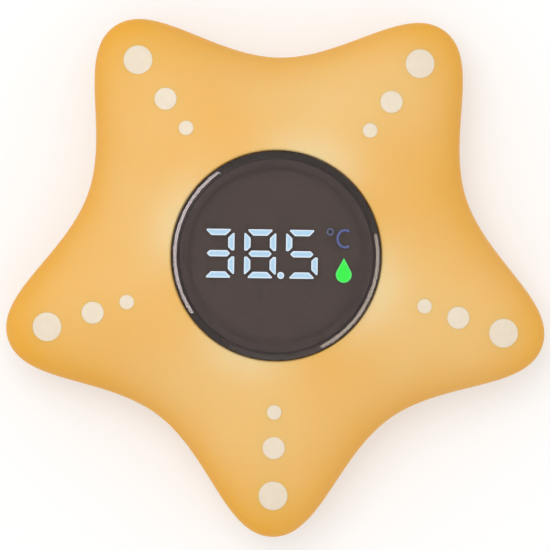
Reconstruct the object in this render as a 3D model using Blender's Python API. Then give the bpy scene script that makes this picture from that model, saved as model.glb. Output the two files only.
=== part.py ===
"""Floating bath thermometer in the shape of a starfish.

Metres, +Z up. It lies on its flat back, with the display facing +Z and one arm
pointing to -Y. The origin is the centre of the flat back.
"""

import functools
import math

import bmesh
import bpy
import numpy

# Clearance left between two pieces that touch, and how far a cutter runs past a face
GAP = 0.0003
OVERRUN = 0.001

# Outline of the star, one arm after another. Each half arm is one curve from the
# tip to the valley, and a handle is the length of the curve's tangent there.
ARM_COUNT = 5
FIRST_ARM = math.radians(-90)
TIP_RADIUS = 0.04696
VALLEY_RADIUS = 0.03315
TIP_HANDLE = 0.00796
VALLEY_HANDLE = 0.01101

# Moulded body
WALL = 0.0020
BACK_HEIGHT = 0.0090
CROWN_RISE = 0.0135
CROWN_FALL = 0.45
BASE_SHARE = 0.85
RIM_ROUND = 0.0004
LIP_HEIGHT = 0.0015
LIP_THICKNESS = 0.0008

# Steps along half an arm, up the crown, down the back and round a circle
HALF_ARM_STEPS = 7
STEP_CROWDING = 1.2
CROWN_STEPS = 7
INNER_STEPS = 4
BACK_STEPS = 4
ROUND_SIDES = 56
INNER_SIDES = 36
PIN_SIDES = 14
LEG_SIDES = 8
BEAD_STEPS = 6
OUTLINE_SAMPLES = 201
BISECTIONS = 40

# Cream spots on each arm: distance from the arm's tip, and radius
SPOTS = {"outer": (0.00696, 0.00240), "middle": (0.01496, 0.00184), "inner": (0.02091, 0.00120)}
SPOT_DEPTH = 0.0006
SPOT_SIDES = 14

# Window and what is stacked behind it
LENS_RADIUS = 0.0174
LENS_THICKNESS = 0.0022
LENS_BEVEL = 0.0010
LENS_PROUD = 0.0009
ADHESIVE_THICKNESS = 0.0005
LEDGE_WIDTH = 0.0023
LEDGE_THICKNESS = 0.0016
WELL_WALL = 0.0015
BAR_HEIGHT = 0.0006
BLOCK_HEIGHT = 0.0056

# Seven-bar digits, from left to right, with the bars that are lit
DIGIT_WIDTH = 0.00546
DIGIT_HEIGHT = 0.00827
DIGIT_CENTRE = (-0.0027, 0.0003)
BAR_WIDTH = 0.0012
BAR_SPACING = 0.00033
BAR_ROUND = 0.0002
LIT_BARS = {
    "tens": ("top", "upper_right", "middle", "lower_right", "bottom"),
    "ones": ("top", "upper_left", "upper_right", "middle", "lower_left", "lower_right", "bottom"),
    "tenths": ("top", "upper_left", "middle", "lower_right", "bottom"),
}

# Decimal point, then the degree ring, letter C and water drop to the right of the digits
POINT_RADIUS = 0.00058
POINT_MARGIN = 0.00016
RING_MARGIN = 0.00125
RING_RISE = 0.0038
RING_RADIUS = 0.0007
RING_STROKE = 0.00035
LETTER_MARGIN = 0.0003
LETTER_RISE = 0.0027
LETTER_HALF_WIDTH = 0.00120
LETTER_HALF_HEIGHT = 0.00142
LETTER_STROKE = 0.00048
LETTER_OPENING = math.radians(104)
DROP_FALL = 0.0033
DROP_RADIUS = 0.00133
DROP_POINT = 0.00279
SYMBOL_STEPS = 14

# Circuit board, hung from the front shell by screws
BOARD_RADIUS = 0.0230
BOARD_THICKNESS = 0.0012
TONGUE_MARGIN = 0.0018
CHIP_SIDE = 0.0070
CHIP_HEIGHT = 0.0012
CHIP_INSET = 0.0090
SCREW_ANGLES = tuple(math.radians(angle) for angle in (90, 210, 330))
SCREW_INSET = 0.0025
SCREW_RADIUS = 0.0009
SCREW_LENGTH = 0.0060
SCREW_HEAD_RADIUS = 0.0017
SCREW_HEAD_HEIGHT = 0.0009
SCREW_SLOT_LENGTH = 0.00238
SCREW_SLOT_WIDTH = 0.0005
SCREW_SLOT_DEPTH = 0.0004
BOSS_WALL = 0.0010

# Cell bay in the back, its door and the door's seal
CELL_RADIUS = 0.0100
CELL_THICKNESS = 0.0032
CELL_CAP_RADIUS = 0.00885
CELL_CAP_HEIGHT = 0.0004
BAY_CLEARANCE = 0.0004
DOOR_THICKNESS = 0.0020
DOOR_MARGIN = 0.0006
HEAD_SINK = 0.0002
SCREW_LAND = 0.0002
SEAL_LAND = 0.0006
SEAL_RADIUS = 0.0006
SEAL_FACETS = 6
CUP_MARGIN = 0.0009
CEILING_THICKNESS = 0.0016
CONTACT_THICKNESS = 0.0003
CONTACT_WIDTH = 0.0030
CONTACT_ROOM = 0.0007
CONTACT_REACH = 0.0060

# Probe and the two water contacts, in a row across the arm that points to -Y
PROBE_MARGIN = 0.0031
PROBE_RADIUS = 0.0030
PROBE_WALL = 0.0006
PROBE_HEIGHT = 0.0056
FLANGE_WIDTH = 0.0008
FLANGE_HEIGHT = 0.0008
FACE_SINK = 0.0004
BEAD_RADIUS = 0.0011
LEG_RADIUS = 0.00025
LEG_SPACING = 0.0012
ELECTRODE_MARGIN = 0.0009
ELECTRODE_RADIUS = 0.0012
ELECTRODE_PIN_RADIUS = 0.0008
ELECTRODE_FLANGE = 0.0006

# What follows from the stack behind the window
BACK_EDGE = BACK_HEIGHT - GAP / 2
FRONT_EDGE = BACK_HEIGHT + GAP / 2
OPENING_RADIUS = LENS_RADIUS + GAP
WINDOW_RADIUS = OPENING_RADIUS - LEDGE_WIDTH
WELL_RADIUS = OPENING_RADIUS + WELL_WALL
CROWN_TOP = FRONT_EDGE + CROWN_RISE
LENS_TOP = CROWN_TOP + LENS_PROUD
LENS_BOTTOM = LENS_TOP - LENS_THICKNESS
ADHESIVE_TOP = LENS_BOTTOM - GAP
LEDGE_TOP = ADHESIVE_TOP - ADHESIVE_THICKNESS - GAP
LEDGE_BOTTOM = LEDGE_TOP - LEDGE_THICKNESS
BAR_TOP = LENS_BOTTOM - GAP
BAR_BOTTOM = BAR_TOP - BAR_HEIGHT
BLOCK_TOP = BAR_BOTTOM - GAP
BLOCK_BOTTOM = BLOCK_TOP - BLOCK_HEIGHT
BLOCK_RADIUS = WINDOW_RADIUS - GAP
BOARD_TOP = BLOCK_BOTTOM - GAP
BOARD_BOTTOM = BOARD_TOP - BOARD_THICKNESS
PIN_TOP = BOARD_BOTTOM - GAP

# What follows from the stack in the back
RECESS_FLOOR = DOOR_THICKNESS + GAP
CELL_TOP = RECESS_FLOOR + CELL_THICKNESS
CONTACT_BOTTOM = CELL_TOP + GAP
CONTACT_TOP = CONTACT_BOTTOM + CONTACT_THICKNESS
CEILING_BOTTOM = CONTACT_TOP + CONTACT_ROOM
CEILING_TOP = CEILING_BOTTOM + CEILING_THICKNESS
GROOVE_TOP = RECESS_FLOOR + 2 * SEAL_RADIUS + GAP

# Circles round the cell, from the bay outwards, and the row of probe and contacts
PILOT_RADIUS = SCREW_RADIUS + GAP
BOSS_RADIUS = PILOT_RADIUS + BOSS_WALL
BAY_RADIUS = CELL_RADIUS + BAY_CLEARANCE
GROOVE_INNER = CELL_RADIUS + GAP + CONTACT_THICKNESS + GAP + SEAL_LAND
SEAL_CIRCLE = GROOVE_INNER + GAP + SEAL_RADIUS
GROOVE_OUTER = SEAL_CIRCLE + SEAL_RADIUS + GAP
CUP_RADIUS = GROOVE_OUTER + CUP_MARGIN
DOOR_SCREW_CIRCLE = GROOVE_OUTER + SCREW_LAND + SCREW_HEAD_RADIUS
DOOR_RADIUS = DOOR_SCREW_CIRCLE + SCREW_HEAD_RADIUS + GAP + DOOR_MARGIN
RECESS_RADIUS = DOOR_RADIUS + GAP
BOARD_SCREW_CIRCLE = BOARD_RADIUS - SCREW_INSET
PROBE_DISTANCE = RECESS_RADIUS + WALL + PROBE_MARGIN + PROBE_RADIUS + FLANGE_WIDTH
ELECTRODE_REACH = ELECTRODE_RADIUS + ELECTRODE_FLANGE
ELECTRODE_SPACING = PROBE_RADIUS + FLANGE_WIDTH + ELECTRODE_MARGIN + ELECTRODE_REACH

# Places on the display, from the middle digit outwards
DIGIT_PITCH = DIGIT_WIDTH + 2 * (POINT_RADIUS + POINT_MARGIN)
POINT_CENTRE = (
    DIGIT_CENTRE[0] + DIGIT_PITCH / 2,
    DIGIT_CENTRE[1] - DIGIT_HEIGHT / 2 + POINT_RADIUS,
)
DIGITS_RIGHT = DIGIT_CENTRE[0] + DIGIT_PITCH + DIGIT_WIDTH / 2
RING_CENTRE = (DIGITS_RIGHT + RING_MARGIN + RING_RADIUS, DIGIT_CENTRE[1] + RING_RISE)
LETTER_LEFT = RING_CENTRE[0] + RING_RADIUS + LETTER_MARGIN
LETTER_CENTRE = (
    LETTER_LEFT + LETTER_STROKE / 2 + LETTER_HALF_WIDTH,
    DIGIT_CENTRE[1] + LETTER_RISE,
)
DROP_CENTRE = (LETTER_LEFT + DROP_RADIUS, DIGIT_CENTRE[1] - DROP_FALL)


def linear(colour):
    """Linear values of an sRGB colour given as 0 to 255."""
    shares = [channel / 255 for channel in colour]
    return [s / 12.92 if s <= 0.04045 else ((s + 0.055) / 1.055) ** 2.4 for s in shares]


def surface(name, colour, roughness, metallic=0.0):
    """Principled material of one piece."""
    made = bpy.data.materials.new(name)
    made.use_nodes = True
    shader = made.node_tree.nodes["Principled BSDF"]
    shader.inputs["Base Color"].default_value = (*linear(colour), 1.0)
    shader.inputs["Roughness"].default_value = roughness
    shader.inputs["Metallic"].default_value = metallic
    made.diffuse_color = (*linear(colour), 1.0)
    return made


def add_loft(skin, rings, looped=False):
    """Skin through rings of points. A ring of one point is a pole, and two flat ends are capped."""
    rows = [[skin.verts.new(point) for point in ring] for ring in rings]
    pairs = list(zip(rows, rows[1:]))
    if looped:
        pairs.append((rows[-1], rows[0]))
    for lower, upper in pairs:
        for i in range(max(len(lower), len(upper))):
            corners = [
                lower[i % len(lower)],
                lower[(i + 1) % len(lower)],
                upper[(i + 1) % len(upper)],
                upper[i % len(upper)],
            ]
            skin.faces.new(list(dict.fromkeys(corners)))
    if not looped:
        for row in (rows[0], rows[-1]):
            if len(row) > 1:
                skin.faces.new(row)


def finished(name, skin, material, sharp=40):
    """Object made of a skin whose faces all point outwards."""
    bmesh.ops.recalc_face_normals(skin, faces=skin.faces)
    mesh = bpy.data.meshes.new(name)
    skin.to_mesh(mesh)
    skin.free()
    mesh.shade_smooth()
    mesh.set_sharp_from_angle(angle=math.radians(sharp))
    piece = bpy.data.objects.new(name, mesh)
    bpy.context.scene.collection.objects.link(piece)
    if material is None:
        piece.hide_render = True
        piece.display_type = "WIRE"
    else:
        mesh.materials.append(material)
    return piece


def lofted(name, rings, material, looped=False):
    """Object with one skin through rings of points."""
    skin = bmesh.new()
    add_loft(skin, rings, looped)
    return finished(name, skin, material)


def circle(radius, height, sides, centre=(0.0, 0.0)):
    """Ring of points round a vertical axis. A radius of nothing gives the pole."""
    if radius == 0:
        return [(*centre, height)]
    angles = [2 * math.pi * i / sides for i in range(sides)]
    return [(centre[0] + radius * math.cos(a), centre[1] + radius * math.sin(a), height) for a in angles]


def turned_rings(profile, sides, centre=(0.0, 0.0)):
    """Rings of a turned piece, from its profile of radius and height."""
    return [circle(radius, height, sides, centre) for radius, height in profile]


def turned(name, profile, material, sides=ROUND_SIDES, centre=(0.0, 0.0), looped=False):
    """Turned piece about a vertical axis."""
    return lofted(name, turned_rings(profile, sides, centre), material, looped)


def rod(radius, low, high, centre, sides=PIN_SIDES):
    """Rings of a plain upright rod."""
    return turned_rings([(radius, low), (radius, high)], sides, centre)


def prism(outline, low, high):
    """Rings of an upright prism with the given outline."""
    return [[(x, y, low) for x, y in outline], [(x, y, high) for x, y in outline]]


def cross_prism(outline, half_width):
    """Rings of a prism that runs along Y, from an outline of X and Z."""
    return [[(x, y, z) for x, z in outline] for y in (-half_width, half_width)]


def box_outline(low, high):
    """Corners of a rectangle."""
    return [low, (high[0], low[1]), high, (low[0], high[1])]


def joined(name, bodies, material=None):
    """Object that holds several bodies, each given as its rings. Without a material it is a cutter."""
    skin = bmesh.new()
    for rings in bodies:
        add_loft(skin, rings)
    return finished(name, skin, material)


def combine(piece, other, operation):
    """Live Boolean of a piece with a hidden one."""
    modifier = piece.modifiers.new(other.name, "BOOLEAN")
    modifier.operation = operation
    modifier.solver = "EXACT"
    modifier.object = other


def around(distance, angle):
    """Point at a distance from the centre, in a direction."""
    return (distance * math.cos(angle), distance * math.sin(angle))


def arm_angles():
    """Direction of each arm."""
    return [FIRST_ARM + 2 * math.pi * arm / ARM_COUNT for arm in range(ARM_COUNT)]


def half_arm(share, inset):
    """Direction and distance of a point on half an arm's outline, set in by inset from the outside."""
    half_angle = math.pi / ARM_COUNT
    outward = numpy.array([math.cos(half_angle), math.sin(half_angle)])
    along = numpy.array([outward[1], -outward[0]])
    tip = numpy.array([TIP_RADIUS, 0.0])
    valley = VALLEY_RADIUS * outward
    points = [tip, tip + [0.0, TIP_HANDLE], valley + VALLEY_HANDLE * along, valley]
    rest = 1 - share
    weights = (rest**3, 3 * rest**2 * share, 3 * rest * share**2, share**3)
    place = sum(weight * point for weight, point in zip(weights, points))
    steps = [b - a for a, b in zip(points, points[1:])]
    slope = rest**2 * steps[0] + 2 * rest * share * steps[1] + share**2 * steps[2]
    normal = numpy.array([slope[1], -slope[0]]) / numpy.hypot(*slope)
    x, y = place - inset * normal
    return math.atan2(y, x), math.hypot(x, y)


@functools.lru_cache(maxsize=None)
def outline_table(inset):
    """Directions and distances along half an arm, close enough to read between."""
    samples = [half_arm(share, inset) for share in numpy.linspace(0, 1, OUTLINE_SAMPLES)]
    return numpy.array(samples).T


def reach(angle, inset=0.0):
    """Distance from the centre to the outline, set in by inset, in a direction."""
    pitch = 2 * math.pi / ARM_COUNT
    folded = abs((angle - FIRST_ARM + pitch / 2) % pitch - pitch / 2)
    directions, distances = outline_table(inset)
    return float(numpy.interp(folded, directions, distances))


def column_angles():
    """Directions of the columns of the star's skin, closer together at the tips."""
    shares = [(step / HALF_ARM_STEPS) ** STEP_CROWDING for step in range(HALF_ARM_STEPS + 1)]
    offsets = [half_arm(share, 0.0)[0] for share in shares]
    columns = [-offset for offset in offsets[:0:-1]] + offsets[:-1]
    return [arm + offset for arm in arm_angles() for offset in columns]


COLUMNS = column_angles()


def crown_profile(share):
    """Height of the crown as a share of its rise, from the window (0) to the edge (1)."""
    return (1 - CROWN_FALL * share) * math.sqrt(max(0.0, 1 - share**4))


def crown_share(height_share):
    """Place on the crown, from 0 to 1, where it has a given share of its rise."""
    low, high = 0.0, 1.0
    for _ in range(BISECTIONS):
        middle = (low + high) / 2
        if crown_profile(middle) > height_share:
            low = middle
        else:
            high = middle
    return low


def crown_height(x, y):
    """Height of the outer crown above a point."""
    span = reach(math.atan2(y, x)) - OPENING_RADIUS
    share = (math.hypot(x, y) - OPENING_RADIUS) / span
    return FRONT_EDGE + CROWN_RISE * crown_profile(share)


def seat_height(x, y):
    """Height in the middle of the crown's wall, or of the ledge inside the opening."""
    if math.hypot(x, y) < OPENING_RADIUS:
        return (LEDGE_TOP + LEDGE_BOTTOM) / 2
    return crown_height(x, y) - WALL / 2


def star_ring(radius_at, height_at):
    """Ring over the star's columns, from functions of the direction."""
    return [(*around(radius_at(angle), angle), height_at(angle)) for angle in COLUMNS]


def round_ring(radius, height):
    """Round ring over the star's columns."""
    return star_ring(lambda angle: radius, lambda angle: height)


def crown_rings(inset, rise, inner_radius, steps):
    """Rings from the edge of the crown up to a circle of inner_radius."""

    def share_at(angle, row):
        span = reach(angle, inset) - OPENING_RADIUS
        start = (inner_radius - OPENING_RADIUS) / span
        return start + (1 - start) * math.sin(math.pi / 2 * (1 - row / steps))

    def radius_at(angle, row):
        return OPENING_RADIUS + (reach(angle, inset) - OPENING_RADIUS) * share_at(angle, row)

    def height_at(angle, row):
        return FRONT_EDGE + rise * crown_profile(share_at(angle, row))

    return [
        star_ring(functools.partial(radius_at, row=row), functools.partial(height_at, row=row))
        for row in range(steps + 1)
    ]


def back_rings(inset, floor, steps):
    """Rings of the rounded underside, from its upper edge down to the flat."""
    rings = []
    for row in range(steps + 1):
        turn = math.pi / 2 * row / steps
        scale = BASE_SHARE + (1 - BASE_SHARE) * math.cos(turn)
        height = floor + (BACK_EDGE - floor) * (1 - math.sin(turn))
        rings.append(star_ring(lambda angle: scale * reach(angle, inset), lambda angle: height))
    return rings


def lip_ring(inset, height):
    """Ring of the lip that stands inside the front shell."""
    share = crown_share(LIP_HEIGHT / (CROWN_RISE - WALL))
    edge = functools.partial(reach, inset=WALL + GAP + inset)
    return star_ring(
        lambda angle: OPENING_RADIUS + (edge(angle) - OPENING_RADIUS) * share,
        lambda angle: height,
    )


def spot_rings(centre, radius, low, high, steps=2):
    """Rings of a patch that follows the crown, from low to high above it."""

    def ring(share, lift):
        points = circle(radius * share, 0.0, SPOT_SIDES, centre)
        return [(x, y, crown_height(x, y) + lift) for x, y, _ in points]

    top = [ring(1 - step / steps, high) for step in range(steps + 1)]
    return [ring(0, low), ring(1, low), *top]


def spot_places():
    """Name, centre and radius of each spot."""
    for arm, angle in enumerate(arm_angles(), start=1):
        for size, (inset, radius) in SPOTS.items():
            yield f"spot_{size}_{arm}", around(TIP_RADIUS - inset, angle), radius


def build_spots(material):
    """Cream spots, set flush in the front shell."""
    for name, centre, radius in spot_places():
        lofted(name, spot_rings(centre, radius, -SPOT_DEPTH, 0.0), material)


def build_front_shell(material):
    """Crowned half of the body, with the window's well, the spots' pockets and the board's bosses."""
    rings = crown_rings(0.0, CROWN_RISE, OPENING_RADIUS + RIM_ROUND, CROWN_STEPS)
    rings += [
        round_ring(OPENING_RADIUS, CROWN_TOP - RIM_ROUND),
        round_ring(OPENING_RADIUS, LEDGE_TOP),
        round_ring(WINDOW_RADIUS, LEDGE_TOP),
        round_ring(WINDOW_RADIUS, LEDGE_BOTTOM),
        round_ring(WELL_RADIUS, LEDGE_BOTTOM),
    ]
    rings += crown_rings(WALL, CROWN_RISE - WALL, WELL_RADIUS, INNER_STEPS)[::-1]
    shell = lofted("front_shell", rings, material, looped=True)

    places = [around(BOARD_SCREW_CIRCLE, angle) for angle in SCREW_ANGLES]
    bosses = []
    for place in places:
        foot = circle(BOSS_RADIUS, BOARD_TOP + GAP, PIN_SIDES, place)
        bosses.append([foot, [(x, y, seat_height(x, y)) for x, y, _ in foot]])
    combine(shell, joined("board_bosses", bosses), "UNION")

    pilot_top = PIN_TOP + SCREW_LENGTH + GAP
    pilots = [rod(PILOT_RADIUS, BOARD_TOP - OVERRUN, pilot_top, place) for place in places]
    combine(shell, joined("board_pilots", pilots), "DIFFERENCE")

    pockets = [
        spot_rings(centre, radius + GAP, -SPOT_DEPTH - GAP, OVERRUN)
        for _, centre, radius in spot_places()
    ]
    combine(shell, joined("spot_pockets", pockets), "DIFFERENCE")


def strip_outline(low, high, margin):
    """Outline, in X and Z, of the strip beside the cell between two heights, with a margin at its faces."""
    inner = CELL_RADIUS + GAP
    return box_outline((inner - margin, low), (inner + CONTACT_THICKNESS + margin, high))


def tail_outline(low, high, margin):
    """Outline, in X and Z, of the spring's tail between two heights, with a margin at its faces."""
    left = -CONTACT_REACH
    return box_outline((left - margin, low), (left + CONTACT_THICKNESS + margin, high))


def build_back_shell(material):
    """Flat-bottomed half of the body, with the cell bay, the lip and the holes for probe and contacts."""
    cup = [(CUP_RADIUS, CEILING_TOP), (CUP_RADIUS, RECESS_FLOOR + WALL)]
    step = [(RECESS_RADIUS + WALL, RECESS_FLOOR + WALL), (RECESS_RADIUS + WALL, WALL)]
    recess = [(RECESS_RADIUS, 0.0), (RECESS_RADIUS, RECESS_FLOOR)]
    groove = [
        (GROOVE_OUTER, RECESS_FLOOR),
        (GROOVE_OUTER, GROOVE_TOP),
        (GROOVE_INNER, GROOVE_TOP),
        (GROOVE_INNER, RECESS_FLOOR),
    ]
    bay = [(BAY_RADIUS, RECESS_FLOOR), (BAY_RADIUS, CEILING_BOTTOM)]
    lip = [
        lip_ring(LIP_THICKNESS, BACK_EDGE - LIP_HEIGHT),
        lip_ring(LIP_THICKNESS, BACK_EDGE + LIP_HEIGHT),
        lip_ring(0.0, BACK_EDGE + LIP_HEIGHT),
        lip_ring(0.0, BACK_EDGE),
    ]
    inside = [round_ring(*point) for point in cup + step]
    outside = [round_ring(*point) for point in recess + groove + bay]
    rings = [[(0.0, 0.0, CEILING_TOP)], *inside]
    rings += back_rings(WALL, WALL, BACK_STEPS)[:0:-1]
    rings += [*lip, *back_rings(0.0, 0.0, BACK_STEPS), *outside, [(0.0, 0.0, CEILING_BOTTOM)]]
    shell = lofted("back_shell", rings, material)

    places = [around(DOOR_SCREW_CIRCLE, angle) for angle in SCREW_ANGLES]
    pilot_top = HEAD_SINK + SCREW_HEAD_HEIGHT + SCREW_LENGTH + GAP
    boss_low, boss_high = RECESS_FLOOR + WALL / 2, pilot_top + BOSS_WALL / 2
    bosses = [rod(BOSS_RADIUS, boss_low, boss_high, place) for place in places]
    combine(shell, joined("door_bosses", bosses), "UNION")

    openings = [rod(PILOT_RADIUS, RECESS_FLOOR - OVERRUN, pilot_top, place) for place in places]
    openings.append(rod(PROBE_RADIUS + GAP, -OVERRUN, WALL + OVERRUN, (0.0, -PROBE_DISTANCE)))
    for x in (-ELECTRODE_SPACING, ELECTRODE_SPACING):
        openings.append(rod(ELECTRODE_RADIUS + GAP, -OVERRUN, WALL + OVERRUN, (x, -PROBE_DISTANCE)))
    slot_half = CONTACT_WIDTH / 2 + GAP
    slot_top = CEILING_TOP + OVERRUN
    strip = strip_outline(RECESS_FLOOR - OVERRUN, slot_top, GAP)
    tail = tail_outline(CEILING_BOTTOM - OVERRUN / 2, slot_top, GAP)
    openings += [cross_prism(strip, slot_half), cross_prism(tail, slot_half)]
    combine(shell, joined("back_openings", openings), "DIFFERENCE")


def build_contacts(material):
    """Strip beside the cell and spring over it, each with a tail up to the board."""
    half = CONTACT_WIDTH / 2
    strip = strip_outline(RECESS_FLOOR + GAP, PIN_TOP, 0.0)
    lofted("contact_positive", cross_prism(strip, half), material)
    end = CONTACT_REACH / 2
    low_left, low_right, high_right, high_left = tail_outline(CONTACT_BOTTOM, PIN_TOP, 0.0)
    flat = [low_left, (end, CONTACT_BOTTOM), (end, CONTACT_TOP), (low_right[0], CONTACT_TOP)]
    spring = [*flat, high_right, high_left]
    lofted("contact_negative", cross_prism(spring, half), material)


def build_cell(material):
    """Coin cell, with its smaller cap towards the spring."""
    shoulder = CELL_TOP - CELL_CAP_HEIGHT
    profile = [
        (0, RECESS_FLOOR),
        (CELL_RADIUS, RECESS_FLOOR),
        (CELL_RADIUS, shoulder),
        (CELL_CAP_RADIUS, shoulder),
        (CELL_CAP_RADIUS, CELL_TOP),
        (0, CELL_TOP),
    ]
    turned("battery_cell", profile, material, sides=INNER_SIDES)


def build_door(material):
    """Round door, flush with the back, with a sunk hole for each screw."""
    door = turned(
        "battery_door",
        [(0, 0.0), (DOOR_RADIUS, 0.0), (DOOR_RADIUS, DOOR_THICKNESS), (0, DOOR_THICKNESS)],
        material,
    )
    sunk = HEAD_SINK + SCREW_HEAD_HEIGHT + GAP
    profile = [
        (SCREW_HEAD_RADIUS + GAP, -OVERRUN),
        (SCREW_HEAD_RADIUS + GAP, sunk),
        (PILOT_RADIUS, sunk),
        (PILOT_RADIUS, DOOR_THICKNESS + OVERRUN),
    ]
    holes = [turned_rings(profile, PIN_SIDES, around(DOOR_SCREW_CIRCLE, a)) for a in SCREW_ANGLES]
    combine(door, joined("door_holes", holes), "DIFFERENCE")


def build_seal(material):
    """Ring of round section in the groove that the door closes."""
    middle = RECESS_FLOOR + SEAL_RADIUS
    turns = [2 * math.pi * i / SEAL_FACETS for i in range(SEAL_FACETS)]
    profile = [
        (SEAL_CIRCLE + SEAL_RADIUS * math.cos(turn), middle + SEAL_RADIUS * math.sin(turn))
        for turn in turns
    ]
    turned("door_seal", profile, material, sides=INNER_SIDES, looped=True)


def build_screws(material):
    """Six like screws: three hold the door and three hold the board. A head's cross is cut once."""
    head_top = SCREW_HEAD_HEIGHT
    profile = [
        (0, 0.0),
        (SCREW_HEAD_RADIUS, 0.0),
        (SCREW_HEAD_RADIUS, head_top),
        (SCREW_RADIUS, head_top),
        (SCREW_RADIUS, head_top + SCREW_LENGTH - SCREW_RADIUS),
        (0, head_top + SCREW_LENGTH),
    ]
    blank = turned("screw_blank", profile, material, sides=PIN_SIDES)
    length, width = SCREW_SLOT_LENGTH / 2, SCREW_SLOT_WIDTH / 2
    corners = [(length, width), (width, width), (width, length)]
    cross = []
    for quarter in range(4):
        angle = math.pi / 2 * quarter
        for x, y in corners:
            cross.append((
                x * math.cos(angle) - y * math.sin(angle),
                x * math.sin(angle) + y * math.cos(angle),
            ))
    cutter = joined("screw_cross", [prism(cross, -OVERRUN, SCREW_SLOT_DEPTH)])
    combine(blank, cutter, "DIFFERENCE")
    graph = bpy.context.evaluated_depsgraph_get()
    mesh = bpy.data.meshes.new_from_object(blank.evaluated_get(graph))
    bpy.data.objects.remove(blank)
    bpy.data.objects.remove(cutter)
    groups = (
        ("door_screw", DOOR_SCREW_CIRCLE, HEAD_SINK),
        ("board_screw", BOARD_SCREW_CIRCLE, PIN_TOP - SCREW_HEAD_HEIGHT),
    )
    for group, distance, height in groups:
        for number, angle in enumerate(SCREW_ANGLES, start=1):
            screw = bpy.data.objects.new(f"{group}_{number}", mesh)
            screw.location = (*around(distance, angle), height)
            bpy.context.scene.collection.objects.link(screw)


def build_lens(material):
    """Round window with a bevelled edge, proud of the crown."""
    profile = [
        (0, LENS_BOTTOM),
        (LENS_RADIUS, LENS_BOTTOM),
        (LENS_RADIUS, LENS_TOP - LENS_BEVEL),
        (LENS_RADIUS - LENS_BEVEL, LENS_TOP),
        (0, LENS_TOP),
    ]
    turned("display_lens", profile, material)


def build_adhesive(material):
    """Ring of foam tape that holds the window on its ledge."""
    low, high = ADHESIVE_TOP - ADHESIVE_THICKNESS, ADHESIVE_TOP
    inner, outer = WINDOW_RADIUS + GAP, LENS_RADIUS
    profile = [(inner, low), (outer, low), (outer, high), (inner, high)]
    turned("lens_adhesive", profile, material, sides=INNER_SIDES, looped=True)


def build_block(material):
    """Round body of the lit display, on the board."""
    profile = [(0, BLOCK_BOTTOM), (BLOCK_RADIUS, BLOCK_BOTTOM), (BLOCK_RADIUS, BLOCK_TOP), (0, BLOCK_TOP)]
    turned("display_block", profile, material, sides=INNER_SIDES)


def rounded(outline, radius, steps=2):
    """Outline with each corner rounded by an arc."""
    made = []
    corners = [numpy.array(point) for point in outline]
    for i, corner in enumerate(corners):
        before = corners[i - 1] - corner
        after = corners[(i + 1) % len(corners)] - corner
        before = before / numpy.hypot(*before)
        after = after / numpy.hypot(*after)
        half_angle = math.acos(max(-1.0, min(1.0, float(before @ after)))) / 2
        bisector = before + after
        centre = corner + bisector / numpy.hypot(*bisector) * radius / math.sin(half_angle)
        start = corner + before * radius / math.tan(half_angle) - centre
        cross = before[0] * after[1] - before[1] * after[0]
        sweep = (math.pi - 2 * half_angle) * (-1 if cross > 0 else 1)
        for step in range(steps + 1):
            turn = sweep * step / steps
            cosine, sine = math.cos(turn), math.sin(turn)
            made.append((
                float(centre[0] + start[0] * cosine - start[1] * sine),
                float(centre[1] + start[0] * sine + start[1] * cosine),
            ))
    return made


def bar_outline(bar):
    """Outline of one bar of a digit, about the digit's centre."""
    right, top = DIGIT_WIDTH / 2, DIGIT_HEIGHT / 2
    setback = BAR_SPACING / math.sqrt(2)
    inner = right - BAR_WIDTH
    node = right - BAR_WIDTH / 2 + setback / 2
    if bar in ("top", "bottom"):
        outline = [
            (right - setback, top),
            (-right + setback, top),
            (-inner + setback, top - BAR_WIDTH),
            (inner - setback, top - BAR_WIDTH),
        ]
    elif bar == "middle":
        point = node - setback
        half = BAR_WIDTH / 2
        outline = [
            (point, 0.0),
            (point - half, half),
            (half - point, half),
            (-point, 0.0),
            (half - point, -half),
            (point - half, -half),
        ]
    else:
        low = BAR_SPACING / 2
        outline = [
            (right, top - setback),
            (inner, top - BAR_WIDTH - setback),
            (inner, node + setback - inner),
            (node + setback - low, low),
            (right, low),
        ]
    mirror_x = -1 if bar.endswith("left") else 1
    mirror_y = -1 if bar.startswith("lower") or bar == "bottom" else 1
    outline = [(mirror_x * x, mirror_y * y) for x, y in outline]
    return rounded(outline, BAR_ROUND)


def build_digits(material):
    """Lit bars of the three digits and the decimal point."""
    for place, (digit, bars) in enumerate(LIT_BARS.items(), start=-1):
        centre = (DIGIT_CENTRE[0] + place * DIGIT_PITCH, DIGIT_CENTRE[1])
        for bar in bars:
            outline = [(centre[0] + x, centre[1] + y) for x, y in bar_outline(bar)]
            lofted(f"{digit}_{bar}_bar", prism(outline, BAR_BOTTOM, BAR_TOP), material)
    lofted("decimal_point", rod(POINT_RADIUS, BAR_BOTTOM, BAR_TOP, POINT_CENTRE), material)


def build_unit(material):
    """Degree ring and letter C."""
    inner, low = RING_RADIUS - RING_STROKE, BAR_BOTTOM
    profile = [(inner, low), (RING_RADIUS, low), (RING_RADIUS, BAR_TOP), (inner, BAR_TOP)]
    turned("degree_ring", profile, material, sides=PIN_SIDES, centre=RING_CENTRE, looped=True)
    sweep = 2 * math.pi - LETTER_OPENING
    angles = [LETTER_OPENING / 2 + sweep * i / SYMBOL_STEPS for i in range(SYMBOL_STEPS + 1)]

    def arc(offset):
        across, up = LETTER_HALF_WIDTH + offset, LETTER_HALF_HEIGHT + offset
        x, y = LETTER_CENTRE
        return [(x + across * math.cos(a), y + up * math.sin(a)) for a in angles]

    outline = arc(LETTER_STROKE / 2) + arc(-LETTER_STROKE / 2)[::-1]
    lofted("letter_c", prism(outline, low, BAR_TOP), material)


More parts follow.
